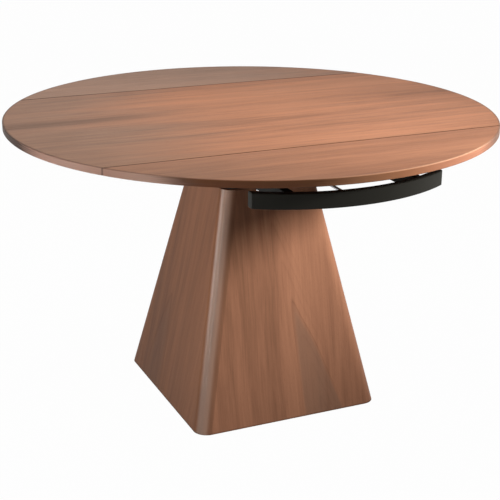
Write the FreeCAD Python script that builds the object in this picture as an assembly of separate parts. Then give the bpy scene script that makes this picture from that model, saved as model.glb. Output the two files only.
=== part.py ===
"""Pedestal dining table with a swivelling top and two end leaves that pull out together.

Lengths are millimetres and angles degrees. The origin is on the floor under the middle of the
pedestal. X runs along the seams of the top, Y along the pull of the leaves, with the front leaf
at -Y, and Z is up. Each physical piece is one file, and like fasteners share a file.
"""
import FreeCAD, Part
import math
import os

from FreeCAD import Vector

# Table top
TABLE_HEIGHT = 760.0
TOP_DIAMETER = 1265.0
TOP_THICKNESS = 17.5
CENTRE_BAND = 729.0
SEAM_GAP = 1.5
SEAM_EASE = 1.0
RIM_EASE = 1.2
TRAVEL = 250.0

# Dowels that line the leaves up with the centre panel
DOWEL_RADIUS = 4.0
DOWEL_BITE = 18.0
DOWEL_FIT = 0.3
DOWEL_SHARES = (-0.72, 0.0, 0.72)

# Insert boards kept under the centre panel
INSERT_THICKNESS = 17.5
INSERT_SLACK = 0.5
INSERT_CLEARANCE = 1.5
INSERT_HEADROOM = 1.6
INSERT_SPINE_GAP = 5.0

# Sliding rails and the sleeves that they run in
RAIL_SPACING = 320.0
RAIL_WIDTH = 20.0
RAIL_HEIGHT = 36.0
RAIL_WALL = 2.0
RAIL_CLEARANCE = 0.4
SLEEVE_WALL = 2.5
SLEEVE_SETBACK = 4.0
GLIDE_COLLAR = 4.0
GLIDE_PLUG = 20.0
GLIDE_CLEARANCE = 0.15
GLIDE_GAP = 6.0

# Curved pull bar under the edge of each leaf
BAR_RADIUS = 452.0
BAR_CHORD = 479.0
BAR_THICKNESS = 18.0
BAR_INSET = 27.0

# What carries each leaf and insert on the sliding rails
CLEAT_MARGIN = 12.0
CLEAT_SETBACK = 57.5
CLEAT_BOLT_SHARES = (0.15, 0.85)
CROSS_BAR_MARGIN = 6.0
CROSS_BAR_DEPTH = 24.0
CROSS_BAR_HEIGHT = 24.0
ARM_WIDTH = 25.0
ARM_THICKNESS = 6.0
ARM_INBOARD = 50.0
ARM_END_MARGIN = 8.0
LEAF_BOLT_RADIUS = 3.0
LEAF_BOLT_HEAD_RADIUS = 6.0
LEAF_BOLT_HEAD = 4.0
LEAF_BOLT_BITE = 12.0

# Rack and pinion that move the leaves together
GEAR_MODULE = 2.0
PINION_TEETH = 18
PRESSURE_ANGLE = 20.0
DEDENDUM_SHARE = 1.25
RACK_BACKLASH = 0.3
RACK_BACK = 8.5
RACK_HEIGHT = 12.0
RACK_RISE = 16.5
RACK_SPARE_TEETH = 3
RACK_LEAD = 300.0
RACK_ROD_RADIUS = 3.5
PINION_PIN_RADIUS = 5.0
PINION_PIN_CAP = 3.0
PINION_PIN_CAP_THICKNESS = 2.0
PINION_HUB_RADIUS = 10.0
PINION_GAP = 0.3
BRIDGE_WIDTH = 28.0
BRIDGE_THICKNESS = 4.0
BRIDGE_LAP = 10.0
GUIDE_LENGTH = 22.0
GUIDE_WALL = 6.0
GUIDE_CLEARANCE = 0.4
GUIDE_MARGIN = 3.0

# Frame on the turntable
BEAM_WIDTH = 40.0
BEAM_HEIGHT = 40.0
BEAM_WALL = 2.5
BEAM_OVERHANG = 5.0
SPINE_WIDTH = 40.0
STIFFENER_GAP = 10.0
STIFFENER_WIDTH = 30.0
STIFFENER_LENGTH = 380.0
RAIL_BOLT_RADIUS = 4.0
RAIL_BOLT_HEAD_RADIUS = 7.5
RAIL_BOLT_HEAD = 5.0
PANEL_SCREW_RADIUS = 2.5
PANEL_SCREW_HEAD_RADIUS = 5.0
PANEL_SCREW_HEAD = 3.0
PANEL_SCREW_BITE = 12.0
SPINE_SCREW_SHARES = (-0.8, -0.48, -0.16, 0.16, 0.48, 0.8)
STIFFENER_SCREW_SHARES = (-0.85, -0.35, 0.35, 0.85)

# Swivel
SWIVEL_PLATE_SIDE = 244.0
SWIVEL_PLATE_THICKNESS = 6.0
SWIVEL_PLATE_MARGIN = 12.0
SWIVEL_PLATE_CORNER = 20.0
BALL_CIRCLE_RADIUS = 80.0
BALL_RADIUS = 4.0
BALL_COUNT = 18
BALL_FIT = 0.05
RACE_WIDTH = 38.0
RACE_THICKNESS = 5.0
RACE_GAP = 3.0
CAGE_THICKNESS = 1.6
CAGE_WIDTH = 22.0
CAGE_FIT = 0.1
RACE_SCREW_COUNT = 6
RACE_SCREW_RADIUS = 2.0
RACE_SCREW_HEAD_RADIUS = 4.0
RACE_SCREW_BITE = 12.0
PIVOT_RADIUS = 8.0
PIVOT_FIT = 0.05
PIVOT_HEAD_RADIUS = 14.0
PIVOT_HEAD = 10.0
PIVOT_END = 6.0
BUSH_WALL = 3.0
BUSH_FLANGE = 4.0
BUSH_FLANGE_THICKNESS = 1.5
NUT_RADIUS = 14.0
NUT_HEIGHT = 11.0
NUT_FLANGE = 3.0
NUT_FLANGE_THICKNESS = 2.0
NUT_GAP = 0.1

# Pedestal
BASE_WIDTH = 514.0
BASE_LENGTH = 530.0
HEAD_WIDTH = 264.0
PANEL_THICKNESS = 19.0
CORNER_RADIUS = 36.0
PAD_THICKNESS = 2.0
PAD_INSET = 4.0
PAD_WIDTH = 24.0
BOTTOM_BOARD_THICKNESS = 18.0
BALLAST_SIDE = 400.0
BALLAST_THICKNESS = 14.0
COLUMN_RADIUS = 45.0
COLUMN_WALL = 3.0
FLANGE_THICKNESS = 8.0
BASE_FLANGE_LIP = 45.0
HEAD_FLANGE_LIP = 24.0
FLANGE_BOLT_COUNT = 4
FLANGE_BOLT_RADIUS = 4.0
FLANGE_BOLT_HEAD_RADIUS = 7.5
FLANGE_BOLT_HEAD = 5.0
FLANGE_BOLT_BITE = 10.0
CAP_THICKNESS = 22.0
CAP_INSET = 12.0
BLOCK_LEG = 40.0
BLOCK_END_GAP = 60.0
GLUE_GAP = 0.1

# Shared allowances
HOLE_FIT = 0.2
HOLE_END = 0.5
OVERRUN = 10.0

# Heights, worked down from the top
TOP_UNDERSIDE = TABLE_HEIGHT - TOP_THICKNESS
INSERT_TOP = TOP_UNDERSIDE - INSERT_HEADROOM
INSERT_BOTTOM = INSERT_TOP - INSERT_THICKNESS
SLEEVE_TOP = INSERT_BOTTOM - INSERT_CLEARANCE
RAIL_TOP = SLEEVE_TOP - SLEEVE_WALL - RAIL_CLEARANCE
RAIL_BOTTOM = RAIL_TOP - RAIL_HEIGHT
SLEEVE_BOTTOM = RAIL_BOTTOM - RAIL_CLEARANCE - SLEEVE_WALL
BEAM_BOTTOM = SLEEVE_BOTTOM - BEAM_HEIGHT
PLATE_BOTTOM = BEAM_BOTTOM - SWIVEL_PLATE_THICKNESS
BALL_LEVEL = PLATE_BOTTOM - RACE_THICKNESS - RACE_GAP / 2
CAP_TOP = BALL_LEVEL - RACE_GAP / 2 - RACE_THICKNESS
PANEL_TOP = CAP_TOP - CAP_THICKNESS
NUT_SEAT = BEAM_BOTTOM + BUSH_FLANGE_THICKNESS + NUT_GAP
ARM_BOTTOM = INSERT_BOTTOM - ARM_THICKNESS
RACK_BOTTOM = RAIL_BOTTOM + RACK_RISE - RACK_HEIGHT / 2
RACK_TOP = RACK_BOTTOM + RACK_HEIGHT
BOTTOM_BOARD_TOP = PAD_THICKNESS + BOTTOM_BOARD_THICKNESS
BALLAST_TOP = BOTTOM_BOARD_TOP + BALLAST_THICKNESS
COLUMN_BOTTOM = BALLAST_TOP + FLANGE_THICKNESS
COLUMN_TOP = PANEL_TOP - FLANGE_THICKNESS

# Places along and across the table
SEAM = CENTRE_BAND / 2
LEAF_EDGE = SEAM + SEAM_GAP / 2
PANEL_EDGE = SEAM - SEAM_GAP / 2
SEAM_HALF_CHORD = TOP_DIAMETER / 2 * math.sqrt(1 - (CENTRE_BAND / TOP_DIAMETER) ** 2)
INSERT_INNER = SPINE_WIDTH / 2 + INSERT_SPINE_GAP
INSERT_OUTER = INSERT_INNER + TRAVEL - 2 * INSERT_SLACK
STIFFENER_INNER = SEAM_HALF_CHORD + STIFFENER_GAP
STIFFENER_OFFSET = STIFFENER_INNER + STIFFENER_WIDTH / 2
BEAM_SPACING = SWIVEL_PLATE_SIDE - 2 * SWIVEL_PLATE_MARGIN - BEAM_WIDTH
BEAM_OFFSET = BEAM_SPACING / 2
RAIL_OFFSET = RAIL_SPACING / 2
RAIL_TAIL = GLIDE_GAP + GLIDE_COLLAR
SLEEVE_END = PANEL_EDGE - SLEEVE_SETBACK
SLEEVE_HALF_WIDTH = RAIL_WIDTH / 2 + RAIL_CLEARANCE + SLEEVE_WALL
BEAM_HALF_LENGTH = RAIL_OFFSET + SLEEVE_HALF_WIDTH + BEAM_OVERHANG
BAR_FRONT = TOP_DIAMETER / 2 - BAR_INSET
BAR_CENTRE = BAR_RADIUS - BAR_FRONT
CLEAT_START = LEAF_EDGE + CLEAT_MARGIN
CLEAT_LENGTH = BAR_FRONT - BAR_THICKNESS - CLEAT_SETBACK - CLEAT_START
CROSS_BAR_START = LEAF_EDGE + CROSS_BAR_MARGIN
ARM_OFFSET = RAIL_OFFSET - ARM_INBOARD
RACE_OUTER = BALL_CIRCLE_RADIUS + RACE_WIDTH / 2
RACE_INNER = BALL_CIRCLE_RADIUS - RACE_WIDTH / 2
TAPER = (BASE_WIDTH - HEAD_WIDTH) / 2 / (PANEL_TOP - PAD_THICKNESS)
PANEL_RUN = PANEL_THICKNESS * math.hypot(1, TAPER)

# Gear sizes
PITCH_RADIUS = GEAR_MODULE * PINION_TEETH / 2
TOOTH_PITCH = math.pi * GEAR_MODULE
DEDENDUM = DEDENDUM_SHARE * GEAR_MODULE
RACK_TIP = PITCH_RADIUS - GEAR_MODULE
RACK_ROOT = PITCH_RADIUS + DEDENDUM
RACK_OUTER = RACK_ROOT + RACK_BACK
RACK_MIDDLE = (RACK_TIP + RACK_OUTER) / 2

ORIGIN = Vector(0, 0, 0)
UP = Vector(0, 0, 1)
FULL_TURN = 360.0


# Shape helpers


def box(x_low, x_high, y_low, y_high, z_low, z_high):
    """Box between two corners."""
    corner = Vector(x_low, y_low, z_low)
    return Part.makeBox(x_high - x_low, y_high - y_low, z_high - z_low, corner)


def disc(radius, z_low, z_high, x=0, y=0):
    """Upright cylinder."""
    return Part.makeCylinder(radius, z_high - z_low, Vector(x, y, z_low))


def ring(inner, outer, z_low, z_high):
    """Upright ring about the table's axis."""
    return disc(outer, z_low, z_high).cut(disc(inner, z_low - OVERRUN, z_high + OVERRUN))


def prism(points, z_low, z_high):
    """Upright prism on a closed outline of (x, y) points."""
    corners = [Vector(x, y, z_low) for x, y in points]
    outline = Part.makePolygon(corners + corners[:1])
    return Part.Face(outline).extrude(UP * (z_high - z_low))


def hexagon(radius, z_low, z_high, x, y):
    """Hexagonal head with the given corner radius."""
    turns = [math.radians(FULL_TURN * side / 6) for side in range(6)]
    outline = [(x + radius * math.cos(turn), y + radius * math.sin(turn)) for turn in turns]
    return prism(outline, z_low, z_high)


def drill(shape, places, radius, z_low, z_high):
    """Shape with an upright hole at each place."""
    for x, y in places:
        shape = shape.cut(disc(radius, z_low, z_high, x, y))
    return shape


def polar(radius, count, first_share=0.0):
    """Even places on a circle, the first turned by a share of the step."""
    turns = [2 * math.pi * (step + first_share) / count for step in range(count)]
    return [(radius * math.cos(turn), radius * math.sin(turn)) for turn in turns]


def bolts_up(places, radius, head_radius, head, seat, tip):
    """Hexagon bolts with the head under a seat and the shank rising to a tip."""
    solids = []
    for x, y in places:
        shank = disc(radius, seat, tip, x, y)
        solids.append(shank.fuse(hexagon(head_radius, seat - head, seat, x, y)).removeSplitter())
    return Part.makeCompound(solids)


def bolts_down(places, radius, head_radius, head, seat, tip):
    """Hexagon bolts with the head on a seat and the shank going down to a tip."""
    solids = []
    for x, y in places:
        shank = disc(radius, tip, seat, x, y)
        solids.append(shank.fuse(hexagon(head_radius, seat, seat + head, x, y)).removeSplitter())
    return Part.makeCompound(solids)


def beam(half_length, y_middle, width, z_low, z_high, wall):
    """Rectangular tube along X."""
    y_low = y_middle - width / 2
    y_high = y_middle + width / 2
    outer = box(-half_length, half_length, y_low, y_high, z_low, z_high)
    bore_end = half_length + OVERRUN
    bore = box(-bore_end, bore_end, y_low + wall, y_high - wall, z_low + wall, z_high - wall)
    return outer.cut(bore)


def turned_back(shape):
    """Copy for the back of the table, half a turn from the front."""
    return shape.rotated(ORIGIN, UP, FULL_TURN / 2)


# Top boards


def top_disc():
    """Whole round top with eased rims, before the seams are cut."""
    disc_solid = Part.makeCylinder(TOP_DIAMETER / 2, TOP_THICKNESS, Vector(0, 0, TOP_UNDERSIDE))
    rims = [edge for edge in disc_solid.Edges if edge.BoundBox.ZLength < TOP_THICKNESS / 2]
    return disc_solid.makeChamfer(RIM_EASE, rims)


def dowel_holes(bite, radius):
    """Round holes into the front seam, by their depth each side of it."""
    holes = []
    for share in DOWEL_SHARES:
        start = Vector(share * SEAM_HALF_CHORD, -SEAM - bite, TABLE_HEIGHT - TOP_THICKNESS / 2)
        holes.append(Part.makeCylinder(radius, 2 * bite, start, Vector(0, 1, 0)))
    return Part.makeCompound(holes)


def eased(board, edge, side):
    """Board with the top arris taken off along a seam at the given place, facing front or back."""
    high = TABLE_HEIGHT + OVERRUN
    low = TABLE_HEIGHT - SEAM_EASE - OVERRUN
    outer = edge + side * OVERRUN
    inner = edge - side * (SEAM_EASE + OVERRUN)
    corners = [Vector(-TOP_DIAMETER, y, z) for y, z in ((inner, high), (outer, low), (outer, high))]
    face = Part.Face(Part.makePolygon(corners + corners[:1]))
    return board.cut(face.extrude(Vector(2 * TOP_DIAMETER, 0, 0)))


def panel_screw_places():
    """Where screws rise through the spine and the stiffeners into the centre panel."""
    spine = [(share * STIFFENER_INNER, 0) for share in SPINE_SCREW_SHARES]
    rows = [share * STIFFENER_LENGTH / 2 for share in STIFFENER_SCREW_SHARES]
    return spine + [(side * STIFFENER_OFFSET, row) for side in (-1, 1) for row in rows]


def centre_panel(top):
    """Fixed middle of the top, with its dowel and screw holes."""
    band = box(-TOP_DIAMETER, TOP_DIAMETER, -PANEL_EDGE, PANEL_EDGE, TOP_UNDERSIDE, TABLE_HEIGHT)
    panel = eased(eased(top.common(band), -PANEL_EDGE, -1), PANEL_EDGE, 1)
    holes = dowel_holes(DOWEL_BITE + HOLE_END, DOWEL_RADIUS + DOWEL_FIT)
    panel = panel.cut(holes).cut(turned_back(holes))
    hole_top = TOP_UNDERSIDE + PANEL_SCREW_BITE + HOLE_END
    return drill(panel, panel_screw_places(), PANEL_SCREW_RADIUS + HOLE_FIT, TOP_UNDERSIDE, hole_top)


def front_leaf(top):
    """Pull-out end of the top, with its dowel and bolt holes."""
    end = box(-TOP_DIAMETER, TOP_DIAMETER, -TOP_DIAMETER, -LEAF_EDGE, TOP_UNDERSIDE, TABLE_HEIGHT)
    leaf = eased(top.common(end), -LEAF_EDGE, 1)
    leaf = leaf.cut(dowel_holes(DOWEL_BITE + HOLE_END, DOWEL_RADIUS + HOLE_FIT))
    hole_top = TOP_UNDERSIDE + LEAF_BOLT_BITE + HOLE_END
    return drill(leaf, leaf_bolt_places(), LEAF_BOLT_RADIUS + HOLE_FIT, TOP_UNDERSIDE, hole_top)


def front_insert():
    """Insert board that waits under the centre panel."""
    half = SEAM_HALF_CHORD
    return box(-half, half, -INSERT_OUTER, -INSERT_INNER, INSERT_BOTTOM, INSERT_TOP)


# Front carriage


def bar_sweep(radius):
    """Upright cylinder about the centre of the pull bar's curve."""
    return disc(radius, RAIL_BOTTOM - OVERRUN, RAIL_TOP + OVERRUN, 0, BAR_CENTRE)


def front_bar():
    """Curved pull bar, its ends cut square to the seams."""
    half = BAR_CHORD / 2
    blank = box(-half, half, -TOP_DIAMETER, BAR_CENTRE, RAIL_BOTTOM, RAIL_TOP)
    return blank.common(bar_sweep(BAR_RADIUS)).cut(bar_sweep(BAR_RADIUS - BAR_THICKNESS))


def leaf_bolt_places():
    """Where bolts rise through the rails and cleats into the front leaf."""
    rows = [-(CLEAT_START + share * CLEAT_LENGTH) for share in CLEAT_BOLT_SHARES]
    return [(side * RAIL_OFFSET, row) for side in (-1, 1) for row in rows]


def front_rail(side):
    """Inner rail tube, coped to the back of the pull bar."""
    middle = side * RAIL_OFFSET
    half = RAIL_WIDTH / 2
    outer = box(middle - half, middle + half, -BAR_FRONT, -RAIL_TAIL, RAIL_BOTTOM, RAIL_TOP)
    bore = half - RAIL_WALL
    bore_bottom = RAIL_BOTTOM + RAIL_WALL
    bore_top = RAIL_TOP - RAIL_WALL
    hollow = box(middle - bore, middle + bore, -TOP_DIAMETER, OVERRUN, bore_bottom, bore_top)
    rail = outer.cut(hollow).common(bar_sweep(BAR_RADIUS - BAR_THICKNESS))
    low = RAIL_BOTTOM - OVERRUN
    return drill(rail, leaf_bolt_places(), LEAF_BOLT_RADIUS + HOLE_FIT, low, RAIL_TOP + OVERRUN)


def front_cleats():
    """Blocks that lift the leaf off the rails."""
    solids = []
    for side in (-1, 1):
        middle = side * RAIL_OFFSET
        half = RAIL_WIDTH / 2
        far = -(CLEAT_START + CLEAT_LENGTH)
        block = box(middle - half, middle + half, far, -CLEAT_START, RAIL_TOP, TOP_UNDERSIDE)
        low = RAIL_TOP - OVERRUN
        high = TOP_UNDERSIDE + OVERRUN
        solids.append(drill(block, leaf_bolt_places(), LEAF_BOLT_RADIUS + HOLE_FIT, low, high))
    return Part.makeCompound(solids)


def front_rail_glides():
    """Plastic end plugs that slide in the sleeves."""
    solids = []
    for side in (-1, 1):
        middle = side * RAIL_OFFSET
        edge = RAIL_WIDTH / 2 + RAIL_CLEARANCE - GLIDE_CLEARANCE
        lift = RAIL_CLEARANCE - GLIDE_CLEARANCE
        low = RAIL_BOTTOM - lift
        high = RAIL_TOP + lift
        collar = box(middle - edge, middle + edge, -RAIL_TAIL, -GLIDE_GAP, low, high)
        edge = RAIL_WIDTH / 2 - RAIL_WALL - GLUE_GAP
        low = RAIL_BOTTOM + RAIL_WALL + GLUE_GAP
        high = RAIL_TOP - RAIL_WALL - GLUE_GAP
        plug = box(middle - edge, middle + edge, -RAIL_TAIL - GLIDE_PLUG, -RAIL_TAIL, low, high)
        solids.append(collar.fuse(plug).removeSplitter())
    return Part.makeCompound(solids)


def front_cross_bar():
    """Bar between the rails that carries the insert's arms and the rack's rod."""
    half = RAIL_OFFSET - RAIL_WIDTH / 2
    far = -(CROSS_BAR_START + CROSS_BAR_DEPTH)
    bar = box(-half, half, far, -CROSS_BAR_START, ARM_BOTTOM - CROSS_BAR_HEIGHT, ARM_BOTTOM)
    return bar.cut(rack_rod(RACK_ROD_RADIUS + HOLE_FIT))


def front_insert_arms():
    """Flat arms under the insert board."""
    solids = []
    for side in (-1, 1):
        middle = side * ARM_OFFSET
        half = ARM_WIDTH / 2
        far = -(CROSS_BAR_START + CROSS_BAR_DEPTH)
        near = -(INSERT_INNER + ARM_END_MARGIN)
        solids.append(box(middle - half, middle + half, far, near, ARM_BOTTOM, INSERT_BOTTOM))
    return Part.makeCompound(solids)


def rack_rod(radius):
    """Round rod from the pull bar to the toothed part of the rack."""
    level = (RACK_BOTTOM + RACK_TOP) / 2
    start = Vector(-RACK_MIDDLE, -BAR_FRONT, level)
    return Part.makeCylinder(radius, BAR_FRONT - RACK_LEAD, start, Vector(0, 1, 0))


def front_rack():
    """Toothed rack with its rod, coped to the back of the pull bar."""
    slope = math.tan(math.radians(PRESSURE_ANGLE))
    half_pitch = TOOTH_PITCH / 4 - RACK_BACKLASH / 2
    half_tip = half_pitch - GEAR_MODULE * slope
    half_root = half_pitch + DEDENDUM * slope
    last = math.ceil(TRAVEL / TOOTH_PITCH) + RACK_SPARE_TEETH
    outline = [(-RACK_OUTER, -RACK_LEAD), (-RACK_TIP, -RACK_LEAD)]
    first_root = -(RACK_SPARE_TEETH + 1) * TOOTH_PITCH
    outline += [(-RACK_TIP, first_root), (-RACK_ROOT, first_root)]
    for tooth in range(-RACK_SPARE_TEETH, last):
        middle = (tooth + 0.5) * TOOTH_PITCH
        outline += [(-RACK_ROOT, middle - half_root), (-RACK_TIP, middle - half_tip)]
        outline += [(-RACK_TIP, middle + half_tip), (-RACK_ROOT, middle + half_root)]
    tail = last * TOOTH_PITCH
    outline += [(-RACK_ROOT, tail), (-RACK_OUTER, tail)]
    rod = rack_rod(RACK_ROD_RADIUS).common(bar_sweep(BAR_RADIUS - BAR_THICKNESS))
    return prism(outline, RACK_BOTTOM, RACK_TOP).fuse(rod)


def front_leaf_bolts():
    """Bolts up through the rails and cleats into the leaf."""
    tip = TOP_UNDERSIDE + LEAF_BOLT_BITE
    head_radius = LEAF_BOLT_HEAD_RADIUS
    return bolts_up(leaf_bolt_places(), LEAF_BOLT_RADIUS, head_radius, LEAF_BOLT_HEAD, RAIL_BOTTOM, tip)


def front_seam_dowels():
    """Dowels fixed in the leaf's straight edge."""
    return dowel_holes(DOWEL_BITE, DOWEL_RADIUS)


# Pinion and its seat


def involute_angle(radius, base):
    """Angle swept by an involute between its base circle and a radius."""
    pressure = math.acos(base / radius)
    return math.tan(pressure) - pressure


def sync_pinion():
    """Spur pinion with involute teeth, a tooth on each side pointing along X."""
    base = PITCH_RADIUS * math.cos(math.radians(PRESSURE_ANGLE))
    tip = PITCH_RADIUS + GEAR_MODULE
    root = PITCH_RADIUS - DEDENDUM
    pitch_turn = math.pi / (2 * PINION_TEETH) + involute_angle(PITCH_RADIUS, base)
    flank_steps = 5
    radii = [base + (tip - base) * step / flank_steps for step in range(flank_steps + 1)]

    def point(radius, turn):
        return Vector(radius * math.cos(turn), radius * math.sin(turn), RACK_BOTTOM)

    edges = []
    for tooth in range(PINION_TEETH):
        middle = 2 * math.pi * tooth / PINION_TEETH
        next_gap = middle + math.pi / PINION_TEETH
        after = middle + 2 * math.pi / PINION_TEETH
        turns = [pitch_turn - involute_angle(radius, base) for radius in radii]
        rising = [point(radius, middle - turn) for radius, turn in zip(radii, turns)]
        falling = [point(radius, middle + turn) for radius, turn in zip(radii, turns)]
        falling.reverse()
        rise = Part.BSplineCurve()
        rise.interpolate(rising)
        fall = Part.BSplineCurve()
        fall.interpolate(falling)
        root_start = point(root, middle - pitch_turn)
        root_end = point(root, middle + pitch_turn)
        next_root = point(root, after - pitch_turn)
        edges.append(Part.LineSegment(root_start, rising[0]).toShape())
        edges.append(rise.toShape())
        edges.append(Part.Arc(rising[-1], point(tip, middle), falling[0]).toShape())
        edges.append(fall.toShape())
        edges.append(Part.LineSegment(falling[-1], root_end).toShape())
        edges.append(Part.Arc(root_end, point(root, next_gap), next_root).toShape())
    teeth = Part.Face(Part.Wire(edges)).extrude(UP * RACK_HEIGHT)
    hub_bottom = SLEEVE_BOTTOM + BRIDGE_THICKNESS + PINION_GAP
    gear = teeth.fuse(disc(PINION_HUB_RADIUS, hub_bottom, RACK_BOTTOM)).removeSplitter()
    return gear.cut(disc(PINION_PIN_RADIUS + PIVOT_FIT, hub_bottom - OVERRUN, RACK_TOP + OVERRUN))


def pinion_bridge():
    """Flat bar across the beams that holds the pinion's pin."""
    half = BRIDGE_WIDTH / 2
    reach = BEAM_OFFSET - BEAM_WIDTH / 2 + BRIDGE_LAP
    bar = box(-half, half, -reach, reach, SLEEVE_BOTTOM, SLEEVE_BOTTOM + BRIDGE_THICKNESS)
    hole_top = SLEEVE_BOTTOM + BRIDGE_THICKNESS + OVERRUN
    return bar.cut(disc(PINION_PIN_RADIUS + PIVOT_FIT, SLEEVE_BOTTOM - OVERRUN, hole_top))


def pinion_pin():
    """Headed pin that the pinion turns on."""
    cap_bottom = RACK_TOP + PINION_GAP
    shank = disc(PINION_PIN_RADIUS, SLEEVE_BOTTOM, cap_bottom)
    cap_radius = PINION_PIN_RADIUS + PINION_PIN_CAP
    cap = disc(cap_radius, cap_bottom, cap_bottom + PINION_PIN_CAP_THICKNESS)
    return shank.fuse(cap).removeSplitter()


def rack_guides():
    """Plastic block on each beam, with a channel for each rack."""
    wall = RACK_OUTER + GUIDE_CLEARANCE
    rib = RACK_TIP - GUIDE_CLEARANCE
    floor = RACK_BOTTOM - GUIDE_CLEARANCE
    far = -(BEAM_OFFSET + BEAM_WIDTH / 2 - GUIDE_MARGIN)
    near = far + GUIDE_LENGTH
    half = wall + GUIDE_WALL
    block = box(-half, half, far, near, SLEEVE_BOTTOM, RACK_TOP)
    for side in (-1, 1):
        low, high = sorted((side * rib, side * wall))
        block = block.cut(box(low, high, far - OVERRUN, near + OVERRUN, floor, RACK_TOP + OVERRUN))
    return Part.makeCompound([block, turned_back(block)])


# Turntable frame


def rail_bolt_places():
    """Where bolts join the beams to the sleeves."""
    return [(side * RAIL_OFFSET, row * BEAM_OFFSET) for side in (-1, 1) for row in (-1, 1)]


def swivel_plate():
    """Plate on the upper race that carries the frame."""
    half = SWIVEL_PLATE_SIDE / 2
    plate = box(-half, half, -half, half, PLATE_BOTTOM, BEAM_BOTTOM)
    corners = [edge for edge in plate.Edges if edge.BoundBox.ZLength > SWIVEL_PLATE_THICKNESS / 2]
    plate = plate.makeFillet(SWIVEL_PLATE_CORNER, corners)
    hole = PIVOT_RADIUS + BUSH_WALL + PIVOT_FIT
    return plate.cut(disc(hole, PLATE_BOTTOM - OVERRUN, BEAM_BOTTOM + OVERRUN))


def lower_beam(row):
    """Beam across the turntable, under the sleeves."""
    tube = beam(BEAM_HALF_LENGTH, row * BEAM_OFFSET, BEAM_WIDTH, BEAM_BOTTOM, SLEEVE_BOTTOM, BEAM_WALL)
    low = BEAM_BOTTOM - OVERRUN
    return drill(tube, rail_bolt_places(), RAIL_BOLT_RADIUS + HOLE_FIT, low, SLEEVE_BOTTOM + OVERRUN)


def drill_for_panel_screws(shape):
    """Shape with the holes of the screws that rise into the centre panel."""
    radius = PANEL_SCREW_RADIUS + HOLE_FIT
    return drill(shape, panel_screw_places(), radius, SLEEVE_TOP - OVERRUN, TOP_UNDERSIDE + OVERRUN)


def spine_beam():
    """Beam on the sleeves that the middle of the centre panel is screwed to."""
    tube = beam(STIFFENER_INNER, 0, SPINE_WIDTH, SLEEVE_TOP, TOP_UNDERSIDE, BEAM_WALL)
    return drill_for_panel_screws(tube)


def stiffener(side):
    """Bar across the end of the spine, outside the inserts."""
    low, high = sorted((side * STIFFENER_INNER, side * (STIFFENER_INNER + STIFFENER_WIDTH)))
    half = STIFFENER_LENGTH / 2
    return drill_for_panel_screws(box(low, high, -half, half, SLEEVE_TOP, TOP_UNDERSIDE))


def sleeve(side):
    """Outer rail tube that two inner rails share, one from each end."""
    middle = side * RAIL_OFFSET
    half = SLEEVE_HALF_WIDTH
    outer = box(middle - half, middle + half, -SLEEVE_END, SLEEVE_END, SLEEVE_BOTTOM, SLEEVE_TOP)
    bore = half - SLEEVE_WALL
    bore_end = SLEEVE_END + OVERRUN
    bore_bottom = SLEEVE_BOTTOM + SLEEVE_WALL
    bore_top = SLEEVE_TOP - SLEEVE_WALL
    tube = outer.cut(box(middle - bore, middle + bore, -bore_end, bore_end, bore_bottom, bore_top))
    low = SLEEVE_BOTTOM - OVERRUN
    return drill(tube, rail_bolt_places(), RAIL_BOLT_RADIUS + HOLE_FIT, low, bore_bottom)


def rail_bolts():
    """Bolts up through the beams into the floor of the sleeves."""
    tip = SLEEVE_BOTTOM + SLEEVE_WALL
    head_radius = RAIL_BOLT_HEAD_RADIUS
    return bolts_up(rail_bolt_places(), RAIL_BOLT_RADIUS, head_radius, RAIL_BOLT_HEAD, BEAM_BOTTOM, tip)


def panel_screws():
    """Screws up through the spine and the stiffeners into the centre panel."""
    tip = TOP_UNDERSIDE + PANEL_SCREW_BITE
    places = panel_screw_places()
    head_radius = PANEL_SCREW_HEAD_RADIUS
    return bolts_up(places, PANEL_SCREW_RADIUS, head_radius, PANEL_SCREW_HEAD, SLEEVE_TOP, tip)


# Swivel bearing


def ball_groove():
    """Ring-shaped track of the balls with its running gap."""
    return Part.makeTorus(BALL_CIRCLE_RADIUS, BALL_RADIUS + BALL_FIT, Vector(0, 0, BALL_LEVEL))


def race_screw_places():
    """Where screws hold the lower race to the cap, outside the ball track."""
    land = (BALL_CIRCLE_RADIUS + BALL_RADIUS + RACE_OUTER) / 2
    return polar(land, RACE_SCREW_COUNT)


def lower_race():
    """Fixed ring of the bearing, with countersunk screw holes."""
    race = ring(RACE_INNER, RACE_OUTER, CAP_TOP, CAP_TOP + RACE_THICKNESS).cut(ball_groove())
    for screw in countersunk_screws(HOLE_FIT):
        race = race.cut(screw)
    return race


def upper_race():
    """Turning ring of the bearing, welded under the swivel plate."""
    return ring(RACE_INNER, RACE_OUTER, PLATE_BOTTOM - RACE_THICKNESS, PLATE_BOTTOM).cut(ball_groove())


def countersunk_screws(allowance):
    """Race screws, or the holes for them when given an allowance."""
    seat = CAP_TOP + RACE_THICKNESS
    radius = RACE_SCREW_RADIUS + allowance
    head_radius = RACE_SCREW_HEAD_RADIUS + allowance
    cone = head_radius - radius
    solids = []
    for x, y in race_screw_places():
        shank = disc(radius, CAP_TOP - RACE_SCREW_BITE - allowance, seat - cone, x, y)
        head = Part.makeCone(radius, head_radius, cone, Vector(x, y, seat - cone))
        solids.append(shank.fuse(head).removeSplitter())
    return solids


def bearing_cage():
    """Thin ring that spaces the balls."""
    half = CAGE_WIDTH / 2
    low = BALL_LEVEL - CAGE_THICKNESS / 2
    cage = ring(BALL_CIRCLE_RADIUS - half, BALL_CIRCLE_RADIUS + half, low, low + CAGE_THICKNESS)
    places = polar(BALL_CIRCLE_RADIUS, BALL_COUNT)
    return drill(cage, places, BALL_RADIUS + CAGE_FIT, low - OVERRUN, low + OVERRUN)


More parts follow.
